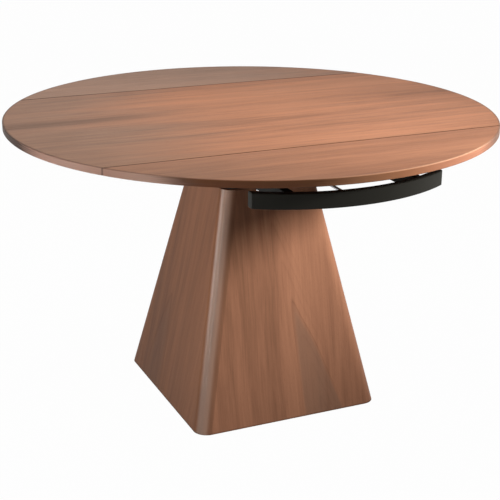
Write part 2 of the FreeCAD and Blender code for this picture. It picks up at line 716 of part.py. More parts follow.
def bearing_balls():
    """Balls in the cage."""
    places = polar(BALL_CIRCLE_RADIUS, BALL_COUNT)
    return Part.makeCompound([Part.makeSphere(BALL_RADIUS, Vector(x, y, BALL_LEVEL)) for x, y in places])


def pivot_bolt():
    """Centre bolt that holds the turntable down on the pedestal."""
    tip = NUT_SEAT + NUT_HEIGHT + PIVOT_END
    head = hexagon(PIVOT_HEAD_RADIUS, COLUMN_TOP - PIVOT_HEAD, COLUMN_TOP, 0, 0)
    return disc(PIVOT_RADIUS, COLUMN_TOP, tip).fuse(head).removeSplitter()


def pivot_bush():
    """Flanged bush in the swivel plate."""
    outer = PIVOT_RADIUS + BUSH_WALL
    sleeve_part = disc(outer, PLATE_BOTTOM, BEAM_BOTTOM)
    flange = disc(outer + BUSH_FLANGE, BEAM_BOTTOM, BEAM_BOTTOM + BUSH_FLANGE_THICKNESS)
    bore = disc(PIVOT_RADIUS + PIVOT_FIT, PLATE_BOTTOM - OVERRUN, BEAM_BOTTOM + OVERRUN)
    return sleeve_part.fuse(flange).cut(bore).removeSplitter()


def pivot_nut():
    """Flange nut on the centre bolt, just clear of the bush."""
    nut_top = NUT_SEAT + NUT_HEIGHT
    flange_top = NUT_SEAT + NUT_FLANGE_THICKNESS
    flange = disc(NUT_RADIUS + NUT_FLANGE, NUT_SEAT, flange_top)
    nut = flange.fuse(hexagon(NUT_RADIUS, flange_top, nut_top, 0, 0)).removeSplitter()
    return nut.cut(disc(PIVOT_RADIUS + PIVOT_FIT, NUT_SEAT - OVERRUN, nut_top + OVERRUN))


# Pedestal


def half_sides(level):
    """Half the width and half the length of the tapered pedestal at a height."""
    share = 1 - 2 * TAPER / BASE_WIDTH * (level - PAD_THICKNESS)
    return BASE_WIDTH / 2 * share, BASE_LENGTH / 2 * share


def rounded_outline(level, inset, radius):
    """Outline of the pedestal at a height, with round corners."""
    half_x, half_y = [half - inset for half in half_sides(level)]
    flat_x = half_x - radius
    flat_y = half_y - radius
    bow = radius * math.sqrt(0.5)
    edges = []
    for turn in (0, FULL_TURN / 2):
        right = Vector(half_x, flat_y, level)
        right_back = Vector(flat_x, half_y, level)
        left_back = Vector(-flat_x, half_y, level)
        left = Vector(-half_x, flat_y, level)
        side = Part.LineSegment(Vector(half_x, -flat_y, level), right)
        corner = Part.Arc(right, Vector(flat_x + bow, flat_y + bow, level), right_back)
        end = Part.LineSegment(right_back, left_back)
        far_corner = Part.Arc(left_back, Vector(-flat_x - bow, flat_y + bow, level), left)
        edges += [piece.toShape().rotated(ORIGIN, UP, turn) for piece in (side, corner, end, far_corner)]
    return Part.Wire(edges)


def sharp_outline(level, inset):
    """Outline of the inside of the pedestal at a height."""
    half_x, half_y = [half - inset for half in half_sides(level)]
    signs = ((1, 1), (-1, 1), (-1, -1), (1, -1))
    corners = [Vector(half_x * x, half_y * y, level) for x, y in signs]
    return Part.makePolygon(corners + corners[:1])


def tapered_board(low, high, inset):
    """Board that fills the inside of the pedestal between two heights."""
    return Part.makeLoft([sharp_outline(level, inset) for level in (low, high)], True, True)


def pedestal_shell():
    """All four sides of the pedestal in one."""
    outlines = [rounded_outline(level, 0, CORNER_RADIUS) for level in (PAD_THICKNESS, PANEL_TOP)]
    return Part.makeLoft(outlines, True, True).cut(tapered_board(PAD_THICKNESS, PANEL_TOP, PANEL_RUN))


def mitred_panel(shell, corners):
    """Side of the pedestal between the mitres that point at two corners."""
    outline = [(0, 0)] + [(x * BASE_WIDTH, y * BASE_LENGTH) for x, y in corners]
    return shell.common(prism(outline, PAD_THICKNESS, PANEL_TOP))


def corner_blocks():
    """Glue blocks up the inside of the mitres."""
    solids = []
    for x, y in ((1, 1), (-1, 1), (-1, -1), (1, -1)):
        outlines = []
        for level in (BOTTOM_BOARD_TOP + BLOCK_END_GAP, PANEL_TOP - BLOCK_END_GAP):
            corner_x, corner_y = [half - PANEL_RUN - GLUE_GAP for half in half_sides(level)]
            corner = Vector(x * corner_x, y * corner_y, level)
            across = Vector(x * (corner_x - BLOCK_LEG), y * corner_y, level)
            along = Vector(x * corner_x, y * (corner_y - BLOCK_LEG), level)
            outlines.append(Part.makePolygon([corner, across, along, corner]))
        solids.append(Part.makeLoft(outlines, True, True))
    return Part.makeCompound(solids)


def floor_pad():
    """Thin rubber frame that the pedestal stands on."""
    outer_x = BASE_WIDTH / 2 - PAD_INSET
    outer_y = BASE_LENGTH / 2 - PAD_INSET
    inner_x = outer_x - PAD_WIDTH
    inner_y = outer_y - PAD_WIDTH
    frame = box(-outer_x, outer_x, -outer_y, outer_y, 0, PAD_THICKNESS)
    corners = [edge for edge in frame.Edges if edge.BoundBox.ZLength > PAD_THICKNESS / 2]
    frame = frame.makeFillet(CORNER_RADIUS - PAD_INSET / 2, corners)
    return frame.cut(box(-inner_x, inner_x, -inner_y, inner_y, -OVERRUN, PAD_THICKNESS + OVERRUN))


def pedestal_cap():
    """Board on top of the pedestal panels, set in from their faces."""
    radius = CORNER_RADIUS - CAP_INSET
    outlines = [rounded_outline(level, CAP_INSET, radius) for level in (PANEL_TOP, CAP_TOP)]
    board = Part.makeLoft(outlines, True, True)
    board = board.cut(disc(PIVOT_RADIUS + HOLE_FIT, PANEL_TOP - OVERRUN, CAP_TOP + OVERRUN))
    hole_top = PANEL_TOP + FLANGE_BOLT_BITE + HOLE_END
    board = drill(board, head_bolt_places(), FLANGE_BOLT_RADIUS + HOLE_FIT, PANEL_TOP, hole_top)
    for screw in countersunk_screws(HOLE_FIT):
        board = board.cut(screw)
    return board


def base_bolt_places():
    """Where bolts hold the base flange."""
    return polar(COLUMN_RADIUS + BASE_FLANGE_LIP / 2, FLANGE_BOLT_COUNT, 0.5)


def head_bolt_places():
    """Where bolts hold the head flange."""
    return polar(COLUMN_RADIUS + HEAD_FLANGE_LIP / 2, FLANGE_BOLT_COUNT, 0.5)


def ballast_plate():
    """Heavy plate that keeps the table from tipping."""
    half = BALLAST_SIDE / 2
    plate = box(-half, half, -half, half, BOTTOM_BOARD_TOP, BALLAST_TOP)
    low = BALLAST_TOP - FLANGE_BOLT_BITE - HOLE_END
    return drill(plate, base_bolt_places(), FLANGE_BOLT_RADIUS + HOLE_FIT, low, BALLAST_TOP)


def base_flange():
    """Plate under the column."""
    plate = disc(COLUMN_RADIUS + BASE_FLANGE_LIP, BALLAST_TOP, COLUMN_BOTTOM)
    high = COLUMN_BOTTOM + OVERRUN
    return drill(plate, base_bolt_places(), FLANGE_BOLT_RADIUS + HOLE_FIT, BALLAST_TOP - OVERRUN, high)


def head_flange():
    """Plate on top of the column."""
    plate = ring(PIVOT_RADIUS + HOLE_FIT, COLUMN_RADIUS + HEAD_FLANGE_LIP, COLUMN_TOP, PANEL_TOP)
    high = PANEL_TOP + OVERRUN
    return drill(plate, head_bolt_places(), FLANGE_BOLT_RADIUS + HOLE_FIT, COLUMN_TOP - OVERRUN, high)


def flange_bolts():
    """Bolts of both flanges."""
    radius = FLANGE_BOLT_RADIUS
    head_radius = FLANGE_BOLT_HEAD_RADIUS
    head = FLANGE_BOLT_HEAD
    base_tip = BALLAST_TOP - FLANGE_BOLT_BITE
    head_tip = PANEL_TOP + FLANGE_BOLT_BITE
    base = bolts_down(base_bolt_places(), radius, head_radius, head, COLUMN_BOTTOM, base_tip)
    top = bolts_up(head_bolt_places(), radius, head_radius, head, COLUMN_TOP, head_tip)
    return Part.makeCompound(base.Solids + top.Solids)


# The pieces by name


def pedestal_pieces():
    """Everything that stays with the floor."""
    shell = pedestal_shell()
    front = mitred_panel(shell, ((-1, -1), (1, -1)))
    right = mitred_panel(shell, ((1, -1), (1, 1)))
    pieces = {
        "front_panel": front,
        "back_panel": turned_back(front),
        "right_panel": right,
        "left_panel": turned_back(right),
    }
    pieces["corner_blocks"] = corner_blocks()
    pieces["floor_pad"] = floor_pad()
    pieces["bottom_board"] = tapered_board(PAD_THICKNESS, BOTTOM_BOARD_TOP, PANEL_RUN + GLUE_GAP)
    pieces["ballast_plate"] = ballast_plate()
    pieces["column_base_flange"] = base_flange()
    pieces["column"] = ring(COLUMN_RADIUS - COLUMN_WALL, COLUMN_RADIUS, COLUMN_BOTTOM, COLUMN_TOP)
    pieces["column_head_flange"] = head_flange()
    pieces["flange_bolts"] = flange_bolts()
    pieces["pedestal_cap"] = pedestal_cap()
    pieces["lower_race"] = lower_race()
    pieces["race_screws"] = Part.makeCompound(countersunk_screws(0))
    pieces["pivot_bolt"] = pivot_bolt()
    pieces["pivot_nut"] = pivot_nut()
    return pieces


def turntable_pieces(top):
    """Everything that swivels but does not pull out, and the pinion and cage."""
    return {
        "bearing_cage": bearing_cage(),
        "bearing_balls": bearing_balls(),
        "upper_race": upper_race(),
        "swivel_plate": swivel_plate(),
        "pivot_bush": pivot_bush(),
        "front_beam": lower_beam(-1),
        "back_beam": lower_beam(1),
        "left_sleeve": sleeve(-1),
        "right_sleeve": sleeve(1),
        "rail_bolts": rail_bolts(),
        "spine_beam": spine_beam(),
        "left_stiffener": stiffener(-1),
        "right_stiffener": stiffener(1),
        "panel_screws": panel_screws(),
        "centre_panel": centre_panel(top),
        "rack_guides": rack_guides(),
        "pinion_bridge": pinion_bridge(),
        "pinion_pin": pinion_pin(),
        "sync_pinion": sync_pinion(),
    }


def carriage_pieces(top):
    """Both pull-out carriages, the back one half a turn from the front one."""
    front = {
        "leaf": front_leaf(top),
        "pull_bar": front_bar(),
        "cleats": front_cleats(),
        "rail_glides": front_rail_glides(),
        "cross_bar": front_cross_bar(),
        "insert_arms": front_insert_arms(),
        "insert": front_insert(),
        "rack": front_rack(),
        "leaf_bolts": front_leaf_bolts(),
        "seam_dowels": front_seam_dowels(),
    }
    pieces = {}
    for name, shape in front.items():
        pieces["front_" + name] = shape
        pieces["back_" + name] = turned_back(shape)
    for side, front_name, back_name in ((-1, "left", "right"), (1, "right", "left")):
        rail = front_rail(side)
        pieces["front_" + front_name + "_rail"] = rail
        pieces["back_" + back_name + "_rail"] = turned_back(rail)
    return pieces


def main():
    """Build every piece and write it to its own file."""
    os.makedirs("parts", exist_ok=True)
    top = top_disc()
    pieces = {**pedestal_pieces(), **turntable_pieces(top), **carriage_pieces(top)}
    for name, shape in pieces.items():
        shape.exportStep("parts/" + name + ".step")
    print(len(pieces), "pieces")


main()
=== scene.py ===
"""Looks of the swivel extending table: its finishes, rounded metalwork, studio and camera.

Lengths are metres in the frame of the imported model: X along the seams of the top, Y along the pull
of the leaves with the front leaf at -Y, Z up from the floor. Angles are degrees until they are used.
"""
import logging
import math
from dataclasses import dataclass, field, replace
from enum import Enum
from typing import Callable, Dict, Iterable, List, Optional, Sequence, Tuple, Union

import bmesh
import bpy
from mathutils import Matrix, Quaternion, Vector


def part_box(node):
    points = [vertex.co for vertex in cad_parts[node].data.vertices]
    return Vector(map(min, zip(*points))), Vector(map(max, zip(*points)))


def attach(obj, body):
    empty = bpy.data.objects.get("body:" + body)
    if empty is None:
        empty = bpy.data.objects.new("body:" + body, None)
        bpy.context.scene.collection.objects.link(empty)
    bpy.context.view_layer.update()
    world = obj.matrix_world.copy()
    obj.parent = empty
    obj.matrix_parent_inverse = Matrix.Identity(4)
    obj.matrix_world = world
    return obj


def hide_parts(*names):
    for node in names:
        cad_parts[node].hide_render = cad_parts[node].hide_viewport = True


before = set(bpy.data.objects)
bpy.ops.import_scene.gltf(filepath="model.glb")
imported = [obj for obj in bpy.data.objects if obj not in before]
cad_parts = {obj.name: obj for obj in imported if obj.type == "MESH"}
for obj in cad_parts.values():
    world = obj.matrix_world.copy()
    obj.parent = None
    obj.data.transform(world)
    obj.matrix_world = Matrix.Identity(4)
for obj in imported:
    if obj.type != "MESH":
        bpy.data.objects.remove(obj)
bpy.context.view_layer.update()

LOG = logging.getLogger("table")

Point = Tuple[float, float, float]
Flat = Tuple[float, float]
Colour = Tuple[float, float, float, float]
Stops = Sequence[Tuple[float, Colour]]
Ring = List[bmesh.types.BMVert]
Number = Union[float, "Value"]
Given = Union[float, Point, Colour, "Value"]

# Sockets of the Mix node, which has a set of them for each kind of data
MIX_FACTOR = 0
MIX_VECTORS = (4, 5)
MIX_COLOURS = (6, 7)
MIX_VECTOR_RESULT = 1
MIX_COLOUR_RESULT = 2

NOISE_MEAN = 0.5
NOISE_ROUGHNESS = 0.55
# How far a seed of 1 moves the noise along each axis
SEED_STEP = (1.0, 1.7, 0.6)


class Value:
    """Output of a shader node. Operators on it add Math nodes."""

    def __init__(self, sheet: "Sheet", socket: Optional[bpy.types.NodeSocket]) -> None:
        """Keep the sheet that the node is on and its socket."""
        self.sheet = sheet
        self.socket = socket

    def other(self, output: Union[int, str]) -> "Value":
        """Another output of the same node."""
        return Value(self.sheet, self.socket.node.outputs[output])

    def math(self, operation: str, first: Number, second: Number = 0.0) -> "Value":
        """Add a Math node.

        Args:
            operation: Name of the operation.
            first: Left operand.
            second: Right operand, unused by operations on one number.

        Returns:
            The node's result.
        """
        return self.sheet.node("ShaderNodeMath", {"operation": operation}, {0: first, 1: second})

    def __add__(self, other: Number) -> "Value":
        """Sum."""
        return self.math("ADD", self, other)

    def __radd__(self, other: Number) -> "Value":
        """Sum with a plain number on the left."""
        return self.math("ADD", other, self)

    def __sub__(self, other: Number) -> "Value":
        """Difference."""
        return self.math("SUBTRACT", self, other)

    def __rsub__(self, other: Number) -> "Value":
        """Difference from a plain number on the left."""
        return self.math("SUBTRACT", other, self)

    def __mul__(self, other: Number) -> "Value":
        """Product."""
        return self.math("MULTIPLY", self, other)

    def __rmul__(self, other: Number) -> "Value":
        """Product with a plain number on the left."""
        return self.math("MULTIPLY", other, self)

    def __truediv__(self, other: Number) -> "Value":
        """Quotient."""
        return self.math("DIVIDE", self, other)

    def __rtruediv__(self, other: Number) -> "Value":
        """Quotient of a plain number on the left."""
        return self.math("DIVIDE", other, self)

    def __pow__(self, other: Number) -> "Value":
        """Power."""
        return self.math("POWER", self, other)

    def __rpow__(self, other: Number) -> "Value":
        """Power of a plain number on the left."""
        return self.math("POWER", other, self)

    def __abs__(self) -> "Value":
        """Size without its sign."""
        return self.math("ABSOLUTE", self)


@dataclass(frozen=True)
class Pattern:
    """Smooth noise: its waves per metre along each axis, its seed and its finer layers."""

    waves: Point
    seed: float
    layers: float

    @classmethod
    def even(cls, waves: float, seed: float, layers: float) -> "Pattern":
        """Pattern that is alike in all directions."""
        return cls((waves, waves, waves), seed, layers)


class Sheet:
    """Node tree of a material or of the world."""

    def __init__(self, tree: bpy.types.NodeTree) -> None:
        """Start from an empty tree."""
        self.tree = tree
        self.tree.nodes.clear()

    def node(self, kind: str, settings: Optional[dict] = None, sockets: Optional[dict] = None,
             output: Union[int, str] = 0) -> Value:
        """Add a node.

        Args:
            kind: Type of the node.
            settings: Its properties, set first; stops are the places and colours of a ramp.
            sockets: Values or links of its inputs by name or number.
            output: Which output to return.

        Returns:
            The chosen output, empty for a node that has none.
        """
        made = self.tree.nodes.new(kind)
        for name, setting in (settings or {}).items():
            if name == "stops":
                self.set_stops(made.color_ramp, setting)
            else:
                setattr(made, name, setting)
        for name, given in (sockets or {}).items():
            if isinstance(given, Value):
                self.tree.links.new(given.socket, made.inputs[name])
            else:
                made.inputs[name].default_value = given
        return Value(self, made.outputs[output] if len(made.outputs) else None)

    @staticmethod
    def set_stops(ramp: bpy.types.ColorRamp, stops: Stops) -> None:
        """Give a ramp its stops.

        Args:
            ramp: Ramp of a node.
            stops: Places and colours in order.
        """
        while len(ramp.elements) < len(stops):
            ramp.elements.new(1.0)
        for element, (place, colour) in zip(ramp.elements, stops):
            element.position = place
            element.color = colour

    def ramp(self, place: Value, stops: Stops) -> Value:
        """Colour at a place between stops."""
        return self.node("ShaderNodeValToRGB", {"stops": stops}, {"Fac": place})

    def mix(self, factor: Number, first: Given, second: Given) -> Value:
        """Blend two colours.

        Args:
            factor: Share of the second colour.
            first: First colour.
            second: Second colour.

        Returns:
            The blended colour.
        """
        low, high = MIX_COLOURS
        sockets = {MIX_FACTOR: factor, low: first, high: second}
        return self.node("ShaderNodeMix", {"data_type": "RGBA"}, sockets, MIX_COLOUR_RESULT)

    def choose(self, factor: Number, first: Value, second: Value) -> Value:
        """Blend two vectors.

        Args:
            factor: Share of the second vector.
            first: First vector.
            second: Second vector.

        Returns:
            The blended vector.
        """
        low, high = MIX_VECTORS
        sockets = {MIX_FACTOR: factor, low: first, high: second}
        return self.node("ShaderNodeMix", {"data_type": "VECTOR"}, sockets, MIX_VECTOR_RESULT)

    def split(self, vector: Value) -> Tuple[Value, Value, Value]:
        """Take a vector apart into its three numbers."""
        x = self.node("ShaderNodeSeparateXYZ", {}, {0: vector})
        return x, x.other(1), x.other(2)

    def join(self, x: Number, y: Number, z: Number) -> Value:
        """Put three numbers together into a vector."""
        return self.node("ShaderNodeCombineXYZ", {}, {0: x, 1: y, 2: z})

    def coordinates(self, kind: str = "Object") -> Value:
        """Coordinates of the piece itself."""
        return self.node("ShaderNodeTexCoord", {}, {}, kind)

    def facing(self) -> Value:
        """Way that the surface faces."""
        return self.node("ShaderNodeNewGeometry", {}, {}, "Normal")

    def noise(self, place: Value, pattern: Pattern, shift: float = 0.0) -> Value:
        """Smooth noise from 0 to 1.

        Args:
            place: Where on the surface.
            pattern: Its waves, seed and layers.
            shift: Added to the seed.

        Returns:
            The noise.
        """
        start = tuple((pattern.seed + shift) * step for step in SEED_STEP)
        mapped = self.node("ShaderNodeMapping", {"vector_type": "POINT"},
                           {"Vector": place, "Location": start, "Scale": pattern.waves})
        return self.node("ShaderNodeTexNoise", {"noise_dimensions": "3D"},
                         {"Vector": mapped, "Scale": 1.0, "Detail": pattern.layers,
                          "Roughness": NOISE_ROUGHNESS})

    def fade(self, value: Value, start: float, end: float) -> Value:
        """Smooth step.

        Args:
            value: What the step follows.
            start: Where it is 0.
            end: Where it is 1.

        Returns:
            The step from 0 to 1.
        """
        settings = {"interpolation_type": "SMOOTHSTEP", "clamp": True}
        sockets = {"Value": value, "From Min": start, "From Max": end}
        return self.node("ShaderNodeMapRange", settings, sockets)

    def bump(self, height: Value, distance: float) -> Value:
        """Normal bent by a height in metres times the distance."""
        return self.node("ShaderNodeBump", {},
                         {"Strength": 1.0, "Distance": distance, "Height": height})

    def surface(self, sockets: Dict[str, Given]) -> None:
        """Finish a material with a Principled shader that has these sockets."""
        self.end(self.node("ShaderNodeBsdfPrincipled", {}, sockets))

    def end(self, shader: Value, kind: str = "ShaderNodeOutputMaterial") -> None:
        """Link a shader to the output."""
        self.node(kind, {}, {"Surface": shader})


class Grain(Enum):
    """Axes along, across and through the grain of a board."""

    ALONG_SEAMS = ("X", "Y", "Z")
    UP_FRONT = ("Z", "X", "Y")
    UP_SIDE = ("Z", "Y", "X")


@dataclass(frozen=True)
class Finish:
    """Surface that paints its own nodes."""

    name: str

    def paint(self, sheet: Sheet) -> None:
        """Fill a sheet with the finish."""
        raise NotImplementedError

    def material(self) -> bpy.types.Material:
        """Make the material, or find the one made before.

        Returns:
            The material of this finish.
        """
        made = bpy.data.materials.get(self.name)
        if made is None:
            made = bpy.data.materials.new(self.name)
            made.use_nodes = True
            self.paint(Sheet(made.node_tree))
        return made


# Edge band of the top by the angle round the table, from the left over the front and right. Its
# colours are painted light and shade: bright where the lamps fall on the rim at the left front and
# the front right, dark where the rim is in shade. The fourth number of a stop is how polished the
# band is there.
TOP_RIM_RADIUS = 0.6325
RIM_PAINTED_LIGHT_STOPS = (
    (0.000, (0.030, 0.018, 0.013, 0.00)),
    (0.020, (0.040, 0.023, 0.016, 0.00)),
    (0.045, (0.480, 0.240, 0.164, 0.80)),
    (0.128, (0.600, 0.328, 0.230, 0.82)),
    (0.148, (0.215, 0.105, 0.066, 0.14)),
    (0.160, (0.270, 0.105, 0.052, 0.00)),
    (0.215, (0.165, 0.070, 0.034, 0.00)),
    (0.240, (0.410, 0.195, 0.105, 0.00)),
    (0.265, (0.480, 0.215, 0.110, 0.00)),
    (0.305, (0.635, 0.282, 0.170, 0.00)),
    (0.340, (0.650, 0.292, 0.182, 0.00)),
    (0.370, (0.220, 0.120, 0.080, 0.00)),
    (0.500, (0.200, 0.095, 0.057, 0.10)),
    (0.750, (0.150, 0.070, 0.042, 0.10)),
    (1.000, (0.030, 0.018, 0.013, 0.00)),
)
RIM_FRAY = 0.03
RIM_LINES = 0.4
# Range of the upright part of the normal over which the top turns into the rim
RIM_SLOPE = (0.80, 0.95)

# Eased upper arris of the rim, by the same angle: a painted highlight over the front and front
# right, painted shade elsewhere
LIP_PAINTED_LIGHT_STOPS = (
    (0.000, (0.110, 0.066, 0.050, 1.0)),
    (0.050, (0.150, 0.090, 0.066, 1.0)),
    (0.130, (0.170, 0.090, 0.058, 1.0)),
    (0.190, (0.340, 0.155, 0.090, 1.0)),
    (0.250, (0.560, 0.290, 0.180, 1.0)),
    (0.300, (0.800, 0.470, 0.310, 1.0)),
    (0.340, (0.800, 0.470, 0.310, 1.0)),
    (0.370, (0.220, 0.130, 0.095, 1.0)),
    (0.500, (0.140, 0.085, 0.062, 1.0)),
    (0.750, (0.110, 0.070, 0.052, 1.0)),
    (1.000, (0.110, 0.066, 0.050, 1.0)),
)
LIP_WIDTH = 0.0055
LIP_BLUR_END = 0.6
LIP_SLOPE = (0.5, 0.65)
LIP_AMOUNT = 0.6

# Dark arrises along the seams of the top, which are fainter at the rim: a dark stain on the
# arrises with painted shade of the gaps between the boards
SEAM_PLACE = 0.3645
SEAM_EDGES = (0.0016, 0.00256)
SEAM_COLOUR = (0.016, 0.009, 0.006, 1.0)
SEAM_AMOUNT = 0.9
SEAM_LOSS_AT_RIM = 0.45

# Rounded corners of the pedestal, by the sideways part of the normal: a painted highlight on the
# crown of the left corners and a strip of painted shade between the crown and the face beside it
CROWN_TURN = (0.15, 0.55)
STRIP_START = (0.01, 0.12)
STRIP_END = (0.25, 0.50)
CROWN_PAINTED_HIGHLIGHT = 0.5
STRIP_PAINTED_SHADE = 0.45

# Noise of the walnut veneer along, across and through the grain
WANDER = Pattern((1.3, 4.0, 1.0), 0.0, 2.0)
BANDS = Pattern((0.75, 10.0, 1.0), 3.0, 2.0)
STREAKS = Pattern((1.9, 48.0, 6.0), 7.0, 3.0)
FLECKS = Pattern((11.0, 120.0, 12.0), 9.0, 2.0)
LINES = Pattern((7.0, 300.0, 30.0), 11.0, 2.0)
PORES = Pattern((70.0, 1500.0, 200.0), 13.0, 1.0)
GRAIN_SWAY = 0.035
BAND_AMOUNT = 0.95
MEAN_TONE = 0.455
TONE_PLACES = (0.0, 0.42, 0.85)
GREY_FRAY = 0.5
ASH_SHARE = 0.6
PIT_EDGES = (0.60, 0.72)
PIT_INK = 0.25
PIT_ROUGHNESS = 0.12
STREAK_ROUGHNESS = 0.16
LINE_HEIGHT = 0.6
PIT_DEPTH = 0.00006

# Figure of the pedestal's veneer: bounds of its rings in turns of a ring and in widths of the arch
ARCH_SWAY = 0.02
ARCH_STRAY = 0.10
MAIN_RING = (0.2, 1.0)
FAINTER_RINGS = 0.6
RING_SIDES = (2.0, 10.0)
RING_RISE = 6.0
RING_FALL = 14.0
RING_BREAKS = 1.2
RING_LEAST = 0.2
HEART_START = (0.08, -0.6)
HEART_SIDES = (6.0, 14.0)
HEART_LEAST = 0.5
# Painted contact shadow along the foot of the pedestal, where it stands on the floor
FOOT_HEIGHT = (0.003, 0.007)
FOOT_PAINTED_SHADOW = 0.7

STAIN_SIDES = (0.15, 1.0)
STAIN_PATCHES = (0.25, 0.60)


@dataclass(frozen=True)
class Arch:
    """Pointed growth-ring figure of a flat-sawn veneer."""

    across: float
    apex: float
    lean: float
    heart: float = 0.2
    ink: float = 0.2
    width: float = 0.0088
    rise: float = 0.040
    spacing: float = 0.150

    def draw(self, sheet: Sheet, place: Value, drift: Value) -> Tuple[Value, Value]:
        """Draw the figure.

        Args:
            sheet: Sheet of the material.
            place: Position along, across and through the grain.
            drift: Slow wander of the grain.

        Returns:
            Its dark rings and the heartwood inside it, both from 0 to 1.
        """
        along, across, _ = sheet.split(place)
        axis = (self.apex - along) * self.lean + self.across
        side = (across + drift * ARCH_SWAY - axis) / self.width
        crown = along.math("SQRT", side * side + 1.0) * self.rise
        turn = (crown + along - self.apex + drift * ARCH_STRAY) / self.spacing
        saw = along.math("FRACT", turn)
        ring = along.math("MAXIMUM", saw ** RING_RISE, (1.0 - saw) ** RING_FALL)
        main = 1.0 - sheet.fade(abs(turn), *MAIN_RING) * FAINTER_RINGS
        near = 1.0 - sheet.fade(abs(side), *RING_SIDES)
        inside = sheet.fade(turn, *HEART_START) * (1.0 - sheet.fade(abs(side), *HEART_SIDES))
        return ring * main * near, inside * self.heart


@dataclass(frozen=True)
class Stain:
    """Dark streak along the grain that starts at the left end of a board."""

    across: float
    half_width: float
    end: float
    amount: float
    run_out: float = 0.55

    def mask(self, sheet: Sheet, place: Value, patchy: Value) -> Value:
        """Mask of the streak.

        Args:
            sheet: Sheet of the material.
            place: Position along, across and through the grain.
            patchy: Streaks that break it up.

        Returns:
            How strong it is, from 0 to 1.
        """
        along, across, _ = sheet.split(place)
        beside = abs(across - self.across) / self.half_width
        core = 1.0 - sheet.fade(beside, *STAIN_SIDES)
        reach = sheet.fade(along, self.end, self.end - self.run_out)
        return core * reach * sheet.fade(patchy, *STAIN_PATCHES) * self.amount


@dataclass(frozen=True)
class Layers:
    """Noise of a veneer from its broad bands to its fine lines."""

    band: Value
    streak: Value
    fleck: Value
    line: Value


